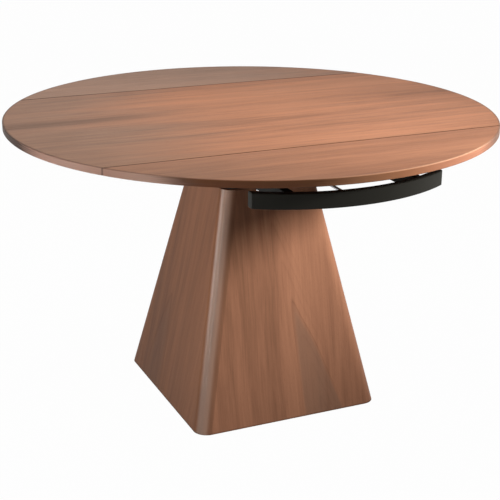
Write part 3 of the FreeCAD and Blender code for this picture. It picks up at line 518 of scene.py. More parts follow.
@dataclass(frozen=True)
class WalnutVeneer(Finish):
    """Satin lacquered walnut veneer with streaks, pores and, where it has them, an arch or a stain."""

    grain: Grain
    seed: float
    dark: Colour = (0.180, 0.088, 0.052, 1.0)
    middle: Colour = (0.390, 0.176, 0.100, 1.0)
    light: Colour = (0.540, 0.248, 0.140, 1.0)
    heartwood: Colour = (0.200, 0.130, 0.096, 1.0)
    # Grey of the dark stain, also the darker grey of the painted sheen and shade on the top
    grey_of_stain_and_sheen: Colour = (0.150, 0.092, 0.066, 1.0)
    painted_pale_sheen: Colour = (0.380, 0.250, 0.185, 1.0)
    # Painted highlight on the crown of the pedestal's rounded left corners
    wear_and_painted_highlight: Colour = (0.560, 0.360, 0.262, 1.0)
    # Painted sheen and shade that turn the top's boards greyer towards one end
    grey_from: float = 0.0
    grey_to: float = 0.0
    sheen_and_shade_amount: float = 0.0
    rim_radius: float = 0.0
    arch: Optional[Arch] = None
    stain: Optional[Stain] = None
    streak_amount: float = 0.75
    line_amount: float = 0.30
    fleck_amount: float = 0.40
    least_roughness: float = 0.34
    gloss: float = 0.05
    polish: float = 0.8
    coat_roughness: float = 0.34

    def place(self, sheet: Sheet) -> Value:
        """Position along, across and through the grain, which wraps round the rim of the top.

        Args:
            sheet: Sheet of the material.

        Returns:
            The position in metres.
        """
        axes = dict(zip("XYZ", sheet.split(sheet.coordinates())))
        flat = sheet.join(*(axes[name] for name in self.grain.value))
        if not self.rim_radius:
            return flat
        turn = axes["X"].math("ARCTAN2", axes["Y"], axes["X"])
        wrapped = sheet.join(turn * self.rim_radius, axes["Z"], self.seed)
        return sheet.choose(self.rim(sheet), flat, wrapped)

    def rim(self, sheet: Sheet) -> Value:
        """Mask of the upright edges of a flat board."""
        upright = abs(sheet.split(sheet.facing())[2])
        return 1.0 - sheet.fade(upright, *RIM_SLOPE)

    def edge_band(self, sheet: Sheet, colour: Value, line: Value) -> Tuple[Value, Value]:
        """Band of veneer round the rim in painted light and shade, its eased arris in painted highlight
        and shade, and dark arrises at the seams that add painted shade of the gaps.

        Args:
            sheet: Sheet of the material.
            colour: Colour of the flat veneer.
            line: Fine lines of the grain.

        Returns:
            The colour with band and seams, and how polished it is.
        """
        x, y, _ = sheet.split(sheet.coordinates())
        turn = x.math("ARCTAN2", y, x) / (2 * math.pi) + 0.5
        # Painted light and shade along the rim by the angle round the table
        band = sheet.ramp(turn + (line - NOISE_MEAN) * RIM_FRAY, RIM_PAINTED_LIGHT_STOPS)
        rim = self.rim(sheet)
        colour = sheet.mix(rim, colour, sheet.mix(line * RIM_LINES, band, self.dark))
        # Eased arris of the rim: painted highlight and shade by the same angle
        outside = sheet.fade(x.math("SQRT", x * x + y * y), self.rim_radius - LIP_WIDTH,
                             self.rim_radius - LIP_WIDTH * LIP_BLUR_END)
        up = sheet.split(sheet.facing())[2]
        lip = outside * sheet.fade(up, *LIP_SLOPE) * LIP_AMOUNT
        colour = sheet.mix(lip, colour, sheet.ramp(turn, LIP_PAINTED_LIGHT_STOPS))
        # Dark arrises at the seams: dark stain with painted shade of the gaps
        seam = 1.0 - sheet.fade(abs(abs(y) - SEAM_PLACE), *SEAM_EDGES)
        depth = seam * (SEAM_AMOUNT - outside * SEAM_LOSS_AT_RIM)
        return sheet.mix(depth, colour, SEAM_COLOUR), band.other("Alpha") * rim

    def corner(self, sheet: Sheet, colour: Value) -> Tuple[Value, Value]:
        """Rounded left corners of the pedestal, with a painted highlight, painted shade and polish.

        Args:
            sheet: Sheet of the material.
            colour: Colour of the flat veneer.

        Returns:
            The colour with the painted highlight on the crown of the corner and the strip of painted
            shade between it and the face beside it, and how polished it is.
        """
        x, y, _ = sheet.split(sheet.coordinates("Normal"))
        left = x * -1.0
        crown = sheet.fade(x.math("MINIMUM", left, abs(y)), *CROWN_TURN)
        strip = sheet.fade(left, *STRIP_START) * (1.0 - sheet.fade(left, *STRIP_END))
        # Painted highlight on the crown, then painted shade in the strip beside it
        pale = sheet.mix(crown * CROWN_PAINTED_HIGHLIGHT, colour, self.wear_and_painted_highlight)
        return sheet.mix(strip * STRIP_PAINTED_SHADE, pale, self.dark), crown

    def tone(self, grain: Layers) -> Value:
        """Lightness of the grain.

        Args:
            grain: Noise of the veneer.

        Returns:
            Place on the ramp from dark to light.
        """
        total = BAND_AMOUNT + self.streak_amount + self.line_amount + self.fleck_amount
        return (grain.band * BAND_AMOUNT + grain.streak * self.streak_amount
                + grain.line * self.line_amount + grain.fleck * self.fleck_amount
                + (MEAN_TONE - NOISE_MEAN * total))

    def paint_sheen_and_shade(self, sheet: Sheet, colour: Value, along: Value, grain: Layers) -> Value:
        """Painted sheen and shade: the colour turns greyer towards one end of the board.

        Args:
            sheet: Sheet of the material.
            colour: Colour of the veneer.
            along: Position along the grain.
            grain: Noise of the veneer.

        Returns:
            The colour with the painted sheen and shade.
        """
        # Painted sheen and shade, with a frayed edge
        frayed = along + (grain.band - NOISE_MEAN) * GREY_FRAY
        cool = sheet.fade(frayed, self.grey_from, self.grey_to) * self.sheen_and_shade_amount
        painted_sheen_colour = sheet.mix((grain.streak + grain.fleck) * ASH_SHARE, self.grey_of_stain_and_sheen, self.painted_pale_sheen)
        return sheet.mix(cool, colour, painted_sheen_colour)

    def paint(self, sheet: Sheet) -> None:
        """Streaks, fine lines and pores under a satin lacquer.

        Args:
            sheet: Sheet of the material.
        """
        place = self.place(sheet)
        drift = sheet.noise(place, WANDER, self.seed) - NOISE_MEAN
        along, across, through = sheet.split(place)
        bent = sheet.join(along, across + drift * GRAIN_SWAY, through)
        grain = Layers(*(sheet.noise(bent, pattern, self.seed)
                         for pattern in (BANDS, STREAKS, FLECKS, LINES)))
        pit = sheet.fade(sheet.noise(bent, PORES, self.seed), *PIT_EDGES)
        tone = self.tone(grain)
        heart: Optional[Value] = None
        if self.arch:
            rings, heart = self.arch.draw(sheet, place, drift)
            tone = tone - rings * (grain.streak * RING_BREAKS + RING_LEAST) * self.arch.ink
        colour = sheet.ramp(tone, tuple(zip(TONE_PLACES, (self.dark, self.middle, self.light))))
        if self.sheen_and_shade_amount:
            colour = self.paint_sheen_and_shade(sheet, colour, along, grain)
        if self.stain:
            colour = sheet.mix(self.stain.mask(sheet, bent, grain.streak), colour, self.grey_of_stain_and_sheen)
        if heart is not None:
            # Painted contact shadow along the foot
            painted_foot_shadow = 1.0 - sheet.fade(along, *FOOT_HEIGHT)
            colour = sheet.mix(heart * (grain.streak + HEART_LEAST), colour, self.heartwood)
            colour = sheet.mix(painted_foot_shadow * FOOT_PAINTED_SHADOW, colour, self.dark)
        colour = sheet.mix(pit * PIT_INK, colour, self.dark)
        if self.rim_radius:
            colour, shine = self.edge_band(sheet, colour, grain.line)
        else:
            colour, shine = self.corner(sheet, colour)
        sheet.surface({
            "Base Color": colour,
            "Roughness": grain.streak * STREAK_ROUGHNESS + pit * PIT_ROUGHNESS + self.least_roughness,
            "Specular IOR Level": self.gloss,
            "Normal": sheet.bump(grain.line * LINE_HEIGHT - pit, PIT_DEPTH),
            "Coat Weight": shine * self.polish,
            "Coat Roughness": self.coat_roughness,
        })


@dataclass(frozen=True)
class PowderCoat(Finish):
    """Fine satin powder coat on steel."""

    colour: Colour = (0.0060, 0.0060, 0.0052, 1.0)
    bloom: Colour = (0.0100, 0.0100, 0.0090, 1.0)
    least_roughness: float = 0.38
    gloss: float = 0.05
    cloud: Pattern = Pattern.even(9.0, 5.0, 3.0)
    cloud_roughness: float = 0.10
    peel: Pattern = Pattern.even(650.0, 1.0, 1.0)
    peel_roughness: float = 0.06
    peel_height: float = 0.00008

    def paint(self, sheet: Sheet) -> None:
        """Orange-peel bumps and a faint bloom.

        Args:
            sheet: Sheet of the material.
        """
        position = sheet.coordinates()
        peel = sheet.noise(position, self.peel)
        cloud = sheet.noise(position, self.cloud)
        rough = cloud * self.cloud_roughness + peel * self.peel_roughness + self.least_roughness
        sheet.surface({
            "Base Color": sheet.mix(cloud, self.colour, self.bloom),
            "Roughness": rough,
            "Specular IOR Level": self.gloss,
            "Normal": sheet.bump(peel, self.peel_height),
        })


@dataclass(frozen=True)
class Metal(Finish):
    """Bare or plated metal with fine tool marks."""

    colour: Colour
    shade: Colour
    least_roughness: float = 0.18
    marks: Pattern = Pattern((60.0, 900.0, 900.0), 2.0, 2.0)
    mark_roughness: float = 0.20
    mark_depth: float = 0.00002
    stain: Pattern = Pattern.even(35.0, 8.0, 3.0)
    stain_roughness: float = 0.10

    def paint(self, sheet: Sheet) -> None:
        """Drawn lines and a little staining.

        Args:
            sheet: Sheet of the material.
        """
        position = sheet.coordinates()
        drawn = sheet.noise(position, self.marks)
        stain = sheet.noise(position, self.stain)
        rough = drawn * self.mark_roughness + stain * self.stain_roughness + self.least_roughness
        sheet.surface({
            "Base Color": sheet.mix(stain, self.colour, self.shade),
            "Metallic": 1.0,
            "Roughness": rough,
            "Normal": sheet.bump(drawn, self.mark_depth),
        })


@dataclass(frozen=True)
class Moulded(Finish):
    """Moulded plastic or rubber with a fine spark texture."""

    colour: Colour
    wear_and_painted_highlight: Colour
    least_roughness: float = 0.42
    gloss: float = 0.35
    spark: Pattern = Pattern.even(900.0, 4.0, 2.0)
    spark_roughness: float = 0.14
    spark_height: float = 0.00006
    scuff: Pattern = Pattern.even(40.0, 6.0, 4.0)
    scuff_edges: Flat = (0.55, 0.75)
    scuff_amount: float = 0.5
    scuff_roughness: float = 0.08

    def paint(self, sheet: Sheet) -> None:
        """Fine texture and light scuffs.

        Args:
            sheet: Sheet of the material.
        """
        position = sheet.coordinates()
        spark = sheet.noise(position, self.spark)
        scuff = sheet.fade(sheet.noise(position, self.scuff), *self.scuff_edges)
        rough = spark * self.spark_roughness + scuff * self.scuff_roughness + self.least_roughness
        sheet.surface({
            "Base Color": sheet.mix(scuff * self.scuff_amount, self.colour, self.wear_and_painted_highlight),
            "Roughness": rough,
            "Specular IOR Level": self.gloss,
            "Normal": sheet.bump(spark, self.spark_height),
        })


@dataclass(frozen=True)
class BareTimber(Finish):
    """Sanded board without lacquer, with its grain along X."""

    pale: Colour = (0.56, 0.40, 0.24, 1.0)
    deep: Colour = (0.40, 0.26, 0.14, 1.0)
    gloss: float = 0.25
    least_roughness: float = 0.55
    drift: Pattern = Pattern((2.0, 9.0, 9.0), 3.0, 2.0)
    drift_share: float = 0.3
    grain: Pattern = Pattern((4.0, 160.0, 160.0), 9.0, 3.0)
    grain_share: float = 0.7
    grain_roughness: float = 0.2
    grain_height: float = 0.00015

    def paint(self, sheet: Sheet) -> None:
        """Soft grain.

        Args:
            sheet: Sheet of the material.
        """
        position = sheet.coordinates()
        drift = sheet.noise(position, self.drift)
        grain = sheet.noise(position, self.grain)
        tone = grain * self.grain_share + drift * self.drift_share
        sheet.surface({
            "Base Color": sheet.mix(tone, self.deep, self.pale),
            "Roughness": grain * self.grain_roughness + self.least_roughness,
            "Specular IOR Level": self.gloss,
            "Normal": sheet.bump(grain, self.grain_height),
        })


INSERT_VENEER = WalnutVeneer("walnut_insert", Grain.ALONG_SEAMS, 43.0)
# Each board of the top turns greyer towards the left in painted sheen and shade
CENTRE_VENEER = WalnutVeneer(
    "walnut_centre", Grain.ALONG_SEAMS, 2.0, rim_radius=TOP_RIM_RADIUS,
    middle=(0.410, 0.185, 0.105, 1.0), light=(0.570, 0.262, 0.148, 1.0),
    grey_from=-0.02, grey_to=-0.55, sheen_and_shade_amount=0.75, stain=Stain(0.07, 0.055, 0.05, 0.75))
FRONT_VENEER = WalnutVeneer(
    "walnut_front_leaf", Grain.ALONG_SEAMS, 17.0, rim_radius=TOP_RIM_RADIUS,
    middle=(0.355, 0.161, 0.092, 1.0), light=(0.500, 0.232, 0.132, 1.0),
    grey_from=0.10, grey_to=-0.55, sheen_and_shade_amount=0.5)
BACK_VENEER = WalnutVeneer(
    "walnut_back_leaf", Grain.ALONG_SEAMS, 31.0, rim_radius=TOP_RIM_RADIUS,
    painted_pale_sheen=(0.430, 0.300, 0.235, 1.0), grey_from=0.9, grey_to=0.1, sheen_and_shade_amount=0.75)

# The four panels of the pedestal differ from this one
BASE_VENEER = WalnutVeneer("walnut_base", Grain.UP_FRONT, 0.0, streak_amount=0.55, line_amount=0.26,
                           fleck_amount=0.24, coat_roughness=0.26)
FRONT_PANEL_VENEER = replace(
    BASE_VENEER, name="walnut_base_front", seed=5.0, polish=1.0,
    middle=(0.382, 0.180, 0.107, 1.0), light=(0.520, 0.250, 0.148, 1.0),
    arch=Arch(0.022, 0.345, 0.23, heart=0.45, ink=0.36, width=0.0070, spacing=0.090))
BACK_PANEL_VENEER = replace(
    BASE_VENEER, name="walnut_base_back", seed=23.0, arch=Arch(-0.03, 0.42, -0.12))
# Darker tones of the left panel: painted shade of the pedestal's shaded left side
LEFT_PANEL_VENEER = replace(
    BASE_VENEER, name="walnut_base_left", grain=Grain.UP_SIDE, seed=11.0, polish=1.0,
    middle=(0.355, 0.158, 0.086, 1.0), light=(0.492, 0.224, 0.121, 1.0),
    arch=Arch(0.06, 0.30, 0.10))
RIGHT_PANEL_VENEER = replace(
    BASE_VENEER, name="walnut_base_right", grain=Grain.UP_SIDE, seed=37.0, polish=0.45,
    arch=Arch(-0.05, 0.38, 0.08))

BAR_COAT = PowderCoat("bar_powder_coat", (0.025, 0.0243, 0.0205, 1.0), (0.034, 0.0332, 0.029, 1.0))
FRAME_COAT = PowderCoat("frame_powder_coat", least_roughness=0.47, gloss=0.06)
ZINC = Metal("zinc_plate", (0.62, 0.63, 0.66, 1.0), (0.48, 0.49, 0.52, 1.0))
BRASS = Metal("cage_brass", (0.70, 0.50, 0.20, 1.0), (0.52, 0.36, 0.14, 1.0), least_roughness=0.22)
NYLON = Moulded("black_nylon", (0.020, 0.020, 0.021, 1.0), (0.045, 0.045, 0.047, 1.0))
RUBBER = Moulded("pad_rubber", (0.016, 0.016, 0.016, 1.0), (0.035, 0.034, 0.033, 1.0),
                 least_roughness=0.72, spark=Pattern.even(500.0, 4.0, 2.0))
TIMBER = BareTimber("bare_timber")
# Black stain of the pedestal's cap: its black is partly painted shade of the gap under the top
BLACK_BOARD = BareTimber("black_board", (0.020, 0.019, 0.018, 1.0), (0.010, 0.010, 0.010, 1.0))


def dress(finish: Finish, *nodes: str) -> None:
    """Give CAD nodes a finish.

    Args:
        finish: What they are made of.
        nodes: Their names.
    """
    material = finish.material()
    for name in nodes:
        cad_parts[name].material_slots[0].material = material
        LOG.info("%s: %s", name, finish.name)


# Edges flatter than this are shaded smooth
GENTLE_EDGE = 50.0
LEAST_RADIUS = 0.0004
EASE_STEPS = 3
# Sides of the four corners of a section, anticlockwise from the right and top
QUARTERS = ((1, 1), (-1, 1), (-1, -1), (1, -1))


class Solid:
    """Closed mesh that grows ring by ring."""

    def __init__(self, name: str) -> None:
        """Start with nothing but a name."""
        self.name = name
        self.shape = bmesh.new()

    def ring(self, points: Iterable[Point]) -> Ring:
        """Add a ring of corners."""
        return [self.shape.verts.new(point) for point in points]

    def span(self, first: Ring, second: Ring) -> None:
        """Fill the gap between two rings.

        Args:
            first: One ring.
            second: The next, with as many corners.
        """
        for place, corner in enumerate(first):
            after = (place + 1) % len(first)
            self.shape.faces.new((corner, first[after], second[after], second[place]))

    def skin(self, rings: Sequence[Ring], hollow: bool = False) -> None:
        """Fill a row of rings.

        Args:
            rings: The rings in order.
            hollow: Whether the last ring meets the first. Otherwise both ends are closed.
        """
        for first, second in zip(rings, rings[1:]):
            self.span(first, second)
        if hollow:
            self.span(rings[-1], rings[0])
        else:
            self.shape.faces.new(rings[0])
            self.shape.faces.new(rings[-1])

    def corner_normals(self) -> List[Vector]:
        """Normals of the face corners, led by the larger faces and smooth over gentle edges.

        Returns:
            One normal for each corner, in the order of the faces.
        """
        gentle = math.cos(math.radians(GENTLE_EDGE))
        normals = []
        for face in self.shape.faces:
            for corner in face.loops:
                near = [other for other in corner.vert.link_faces
                        if other.normal.dot(face.normal) > gentle]
                total = sum((other.normal * other.calc_area() for other in near), Vector())
                normals.append(total.normalized())
        return normals

    def finish(self, finish: Finish, body: str, slot: str, *nodes: str) -> None:
        """Turn the mesh into a piece of the model.

        Args:
            finish: What it is made of.
            body: Body that it rides on.
            slot: Material slot of the record; not used.
            nodes: CAD nodes that it replaces.
        """
        bmesh.ops.recalc_face_normals(self.shape, faces=self.shape.faces)
        self.shape.normal_update()
        normals = self.corner_normals()
        mesh = bpy.data.meshes.new(self.name)
        self.shape.to_mesh(mesh)
        self.shape.free()
        mesh.polygons.foreach_set("use_smooth", [True] * len(mesh.polygons))
        mesh.normals_split_custom_set(normals)
        mesh.materials.append(finish.material())
        piece = bpy.data.objects.new(self.name, mesh)
        bpy.context.scene.collection.objects.link(piece)
        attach(piece, body)
        if nodes:
            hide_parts(*nodes)
        LOG.info("%s: %s, %d faces", self.name, finish.name, len(mesh.polygons))


class Run(Enum):
    """Axis that a bar runs along."""

    X = 0
    Y = 1

    def at(self, station: float, across: float, up: float) -> Point:
        """Point from its place along the bar, across it and up."""
        return (station, across, up) if self is Run.X else (across, station, up)


@dataclass(frozen=True)
class Section:
    """Rounded rectangle across a bar, tube or board."""

    middle: Flat
    half: Flat
    radius: float
    corner_steps: int = 5

    def points(self, inset: float = 0.0) -> List[Flat]:
        """Outline of the section.

        Args:
            inset: How far it is drawn in on all sides.

        Returns:
            Places across and up, anticlockwise.
        """
        radius = max(self.radius - inset, LEAST_RADIUS)
        wide, high = (side - inset - radius for side in self.half)
        outline = []
        for quarter, (right, top) in enumerate(QUARTERS):
            for step in range(self.corner_steps + 1):
                turn = math.pi / 2 * (quarter + step / self.corner_steps)
                across = self.middle[0] + right * wide + radius * math.cos(turn)
                outline.append((across, self.middle[1] + top * high + radius * math.sin(turn)))
        return outline


def eased_ends(start: float, end: float, ease: float) -> List[Tuple[float, float]]:
    """Stations along a bar whose end arrises are rounded.

    Args:
        start: Where it begins.
        end: Where it ends, further along.
        ease: Radius of the arrises.

    Returns:
        Stations in order, each with the inset of its section.
    """
    turns = [math.pi / 2 * step / EASE_STEPS for step in range(EASE_STEPS + 1)]
    curve = [(ease * (1 - math.sin(turn)), ease * (1 - math.cos(turn))) for turn in turns]
    first = [(start + along, inset) for along, inset in reversed(curve)]
    return first + [(end - along, inset) for along, inset in curve]


@dataclass(frozen=True)
class Bar:
    """Straight bar, tube or board with rounded arrises, as large as its box."""

    low: Point
    high: Point
    run: Run
    radius: float
    ease: float = 0.0006
    wall: float = 0.0

    def section(self) -> Section:
        """Section across the bar.

        Returns:
            The section at its full size.
        """
        across = 1 - self.run.value
        middle = tuple((self.low[axis] + self.high[axis]) / 2 for axis in (across, 2))
        half = tuple((self.high[axis] - self.low[axis]) / 2 for axis in (across, 2))
        return Section(middle, half, self.radius)

    def grow(self, solid: Solid) -> None:
        """Add the bar to a solid.

        Args:
            solid: Mesh that takes it.
        """
        start, end = self.low[self.run.value], self.high[self.run.value]
        stations = eased_ends(start, end, self.ease)
        if self.wall:
            stations += [(end, self.wall), (start, self.wall)]
        section = self.section()
        rings = [solid.ring(self.run.at(station, *point) for point in section.points(inset))
                 for station, inset in stations]
        solid.skin(rings, bool(self.wall))


def side_boxes(node: str) -> List[Tuple[Point, Point]]:
    """Boxes of the two halves of a CAD node that is the same left and right.

    Args:
        node: Its name.

    Returns:
        Lowest and highest corner of the left half and of the right half.
    """
    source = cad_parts[node]
    places = [source.matrix_world @ corner.co for corner in source.data.vertices]
    halves = ([place for place in places if place.x < 0], [place for place in places if place.x > 0])
    return [(tuple(min(place[axis] for place in half) for axis in range(3)),
             tuple(max(place[axis] for place in half) for axis in range(3))) for half in halves]


@dataclass
class Pedestal:
    """Veneered base that stands on the floor, with what it holds."""

    panels: Dict[str, Finish] = field(default_factory=lambda: {
        "front_panel": FRONT_PANEL_VENEER,
        "back_panel": BACK_PANEL_VENEER,
        "left_panel": LEFT_PANEL_VENEER,
        "right_panel": RIGHT_PANEL_VENEER,
    })

    def build(self) -> None:
        """Dress every node of the pedestal."""
        for name, finish in self.panels.items():
            dress(finish, name)
        dress(TIMBER, "corner_blocks", "bottom_board")
        # Black cap: its black is partly painted shade of the gap under the top
        dress(BLACK_BOARD, "pedestal_cap")
        dress(RUBBER, "floor_pad")
        dress(FRAME_COAT, "ballast_plate", "column_base_flange", "column", "column_head_flange")
        dress(ZINC, "flange_bolts", "lower_race", "race_screws", "pivot_bolt", "pivot_nut",
              "bearing_balls")
        dress(BRASS, "bearing_cage")


@dataclass
class Turntable:
    """Swivelling frame with the fixed centre panel."""

    body: str = "turntable"
    sleeve_wall: float = 0.0025
    sleeve_radius: float = 0.004
    beam_wall: float = 0.0025
    beam_radius: float = 0.005
    cap_depth: float = 0.010
    cap_fit: float = 0.0002
    cap_ease: float = 0.0012
    bar_radius: float = 0.0025

    def tube(self, node: str, run: Run, radius: float, wall: float) -> None:
        """Replace a CAD node by a tube with rounded arrises.

        Args:
            node: Its name.
            run: Axis that it runs along.
            radius: Radius of the arrises.
            wall: Thickness of the steel.
        """
        solid = Solid(node + "_tube")
        Bar(*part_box(node), run, radius, wall=wall).grow(solid)
        solid.finish(FRAME_COAT, self.body, "frame_black", node)

    def stiffener(self, node: str) -> None:
        """Replace a stiffener by a bar with rounded arrises.

        Args:
            node: Its name.
        """
        solid = Solid(node + "_bar")
        Bar(*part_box(node), Run.Y, self.bar_radius, ease=self.bar_radius).grow(solid)
        solid.finish(FRAME_COAT, self.body, "frame_black", node)

    def end_caps(self, node: str) -> None:
        """Plug both ends of a beam with moulded caps.

        Args:
            node: Name of the beam.
        """
        low, high = (Vector(corner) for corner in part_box(node))
        inset = Vector((0.0, 1.0, 1.0)) * (self.beam_wall + self.cap_fit)
        radius = self.beam_radius - self.beam_wall
        solid = Solid(node + "_caps")
        for start, end in ((low.x + self.cap_fit, low.x + self.cap_depth),
                           (high.x - self.cap_depth, high.x - self.cap_fit)):
            near, far = low + inset, high - inset
            near.x, far.x = start, end
            Bar(tuple(near), tuple(far), Run.X, radius, self.cap_ease).grow(solid)
        solid.finish(NYLON, self.body, "slide_plastic")

    def build(self) -> None:
        """Round the steelwork and dress every node of the turntable."""
        for node in ("left_sleeve", "right_sleeve"):
            self.tube(node, Run.Y, self.sleeve_radius, self.sleeve_wall)
        for node in ("front_beam", "back_beam"):
            self.tube(node, Run.X, self.beam_radius, self.beam_wall)
            self.end_caps(node)
        self.tube("spine_beam", Run.X, self.sleeve_radius, self.beam_wall)
        for node in ("left_stiffener", "right_stiffener"):
            self.stiffener(node)
        dress(CENTRE_VENEER, "centre_panel")
        dress(FRAME_COAT, "swivel_plate", "pinion_bridge")
        dress(ZINC, "upper_race", "rail_bolts", "panel_screws", "pinion_pin", "sync_pinion")
        dress(BRASS, "pivot_bush")
        dress(NYLON, "rack_guides")


@dataclass
class Carriage:
    """Pull-out leaf with its bar, rails and insert board."""

    end: str
    way: int
    veneer: Finish
    bar_radius: float = 0.452
    bar_thickness: float = 0.018
    bar_arris: float = 0.0022
    bar_ease: float = 0.0012
    bar_steps: int = 48
    rail_wall: float = 0.002
    rail_radius: float = 0.003
    weld: float = 0.0003
    strip_radius: float = 0.0018
    block_radius: float = 0.0022
    board_arris: float = 0.0015

    @property
    def body(self) -> str:
        """Body that the carriage is."""
        return self.end + "_carriage"

    def named(self, *pieces: str) -> List[str]:
        """Names of this carriage's nodes."""
        return [self.end + "_" + piece for piece in pieces]

    def bar_centre(self) -> float:
        """Distance of the centre of the bar's curve from the middle of the table."""
        low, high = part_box(self.end + "_pull_bar")
        return max(abs(low[1]), abs(high[1])) - self.bar_radius

    def pull_bar(self) -> None:
        """Curved bar with rounded arrises and square ends."""
        node = self.end + "_pull_bar"
        low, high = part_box(node)
        centre = self.bar_centre()
        middle, half = (low[2] + high[2]) / 2, (high[2] - low[2]) / 2
        section = Section((0.0, middle), (self.bar_thickness / 2, half), self.bar_arris)
        ends = eased_ends(low[0], high[0], self.bar_ease)
        start, end = ends[EASE_STEPS][0], ends[EASE_STEPS + 1][0]
        between = [(start + (end - start) * step / self.bar_steps, 0.0)
                   for step in range(1, self.bar_steps)]
        solid = Solid(node + "_curve")
        rings = []
        for x, inset in ends[:EASE_STEPS + 1] + between + ends[EASE_STEPS + 1:]:
            outer = centre + math.sqrt(self.bar_radius ** 2 - x ** 2)
            inner = centre + math.sqrt((self.bar_radius - self.bar_thickness) ** 2 - x ** 2)
            stretch = (outer - inner) / self.bar_thickness
            rings.append(solid.ring((x, self.way * ((outer + inner) / 2 + across * stretch), up)
                                    for across, up in section.points(inset)))
        solid.skin(rings)
        solid.finish(BAR_COAT, self.body, "bar_black", node)

    def rail(self, node: str) -> None:
        """Rail tube that is coped to the back of the bar.

        Args:
            node: Its name.
        """
        low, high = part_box(node)
        tail = min(abs(low[1]), abs(high[1]))
        section = Bar(low, high, Run.Y, self.rail_radius).section()
        back, centre = self.bar_radius - self.bar_thickness, self.bar_centre()
        solid = Solid(node + "_tube")

        def loop(inset: float, station: Callable[[float], float]) -> Ring:
            """Ring of the section, each point at the station of its place across."""
            return solid.ring((x, self.way * station(x), up) for x, up in section.points(inset))

        def at_bar(x: float) -> float:
            """Back of the bar."""
            return centre + math.sqrt(back ** 2 - x ** 2) + self.weld

        def at_tail(x: float) -> float:
            """Cut end of the tube."""
            return tail

        rings = [loop(0.0, at_tail), loop(0.0, at_bar),
                 loop(self.rail_wall, at_bar), loop(self.rail_wall, at_tail)]
        solid.skin(rings, hollow=True)
        solid.finish(FRAME_COAT, self.body, "frame_black", node)

    def cross_bar(self) -> None:
        """Bar between the rails."""
        node = self.end + "_cross_bar"
        solid = Solid(node + "_steel")
        Bar(*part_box(node), Run.X, self.strip_radius).grow(solid)
        solid.finish(FRAME_COAT, self.body, "frame_black", node)

    def pair(self, node: str, finish: Finish, slot: str, radius: float) -> None:
        """Left and right piece along the pull, with rounded arrises.

        Args:
            node: CAD node that holds both.
            finish: What they are made of.
            slot: Material slot of the record.
            radius: Radius of the arrises.
        """
        solid = Solid(node + "_pair")
        for low, high in side_boxes(node):
            Bar(low, high, Run.Y, radius, ease=radius).grow(solid)
        solid.finish(finish, self.body, slot, node)

    def insert_board(self) -> None:
        """Veneered insert board with eased arrises."""
        node = self.end + "_insert"
        solid = Solid(node + "_board")
        Bar(*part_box(node), Run.X, self.board_arris, ease=self.board_arris).grow(solid)
        solid.finish(INSERT_VENEER, self.end + "_insert_board", "top_veneer", node)

    def build(self) -> None:
        """Round the metalwork and dress every node of the carriage."""
        self.pull_bar()
        for node in self.named("left_rail", "right_rail"):
            self.rail(node)
        self.cross_bar()
        self.pair(self.end + "_insert_arms", FRAME_COAT, "frame_black", self.strip_radius)
        self.pair(self.end + "_cleats", NYLON, "slide_plastic", self.block_radius)
        self.insert_board()
        dress(self.veneer, *self.named("leaf"))
        dress(ZINC, *self.named("rack", "leaf_bolts"))
        dress(NYLON, *self.named("rail_glides"))
        dress(TIMBER, *self.named("seam_dowels"))


@dataclass(frozen=True)
class SoftBox:
    """Rectangular studio light."""

    name: str
    place: Point
    aim: Point
    size: Flat
    power: float
    colour: Point = (1.0, 1.0, 1.0)
    spread: float = 180.0
    glints: bool = True

    def hang(self) -> None:
        """Add the light to the scene, unseen by the camera."""
        light = bpy.data.lights.new(self.name, "AREA")
        light.shape = "RECTANGLE"
        light.size, light.size_y = self.size
        light.energy = self.power
        light.color = self.colour
        light.spread = math.radians(self.spread)
        hung = bpy.data.objects.new(self.name, light)
        hung.location = self.place
        ray = Vector(self.aim) - Vector(self.place)
        hung.rotation_euler = ray.to_track_quat("-Z", "Y").to_euler()
        hung.visible_camera = False
        hung.visible_glossy = self.glints
        bpy.context.scene.collection.objects.link(hung)


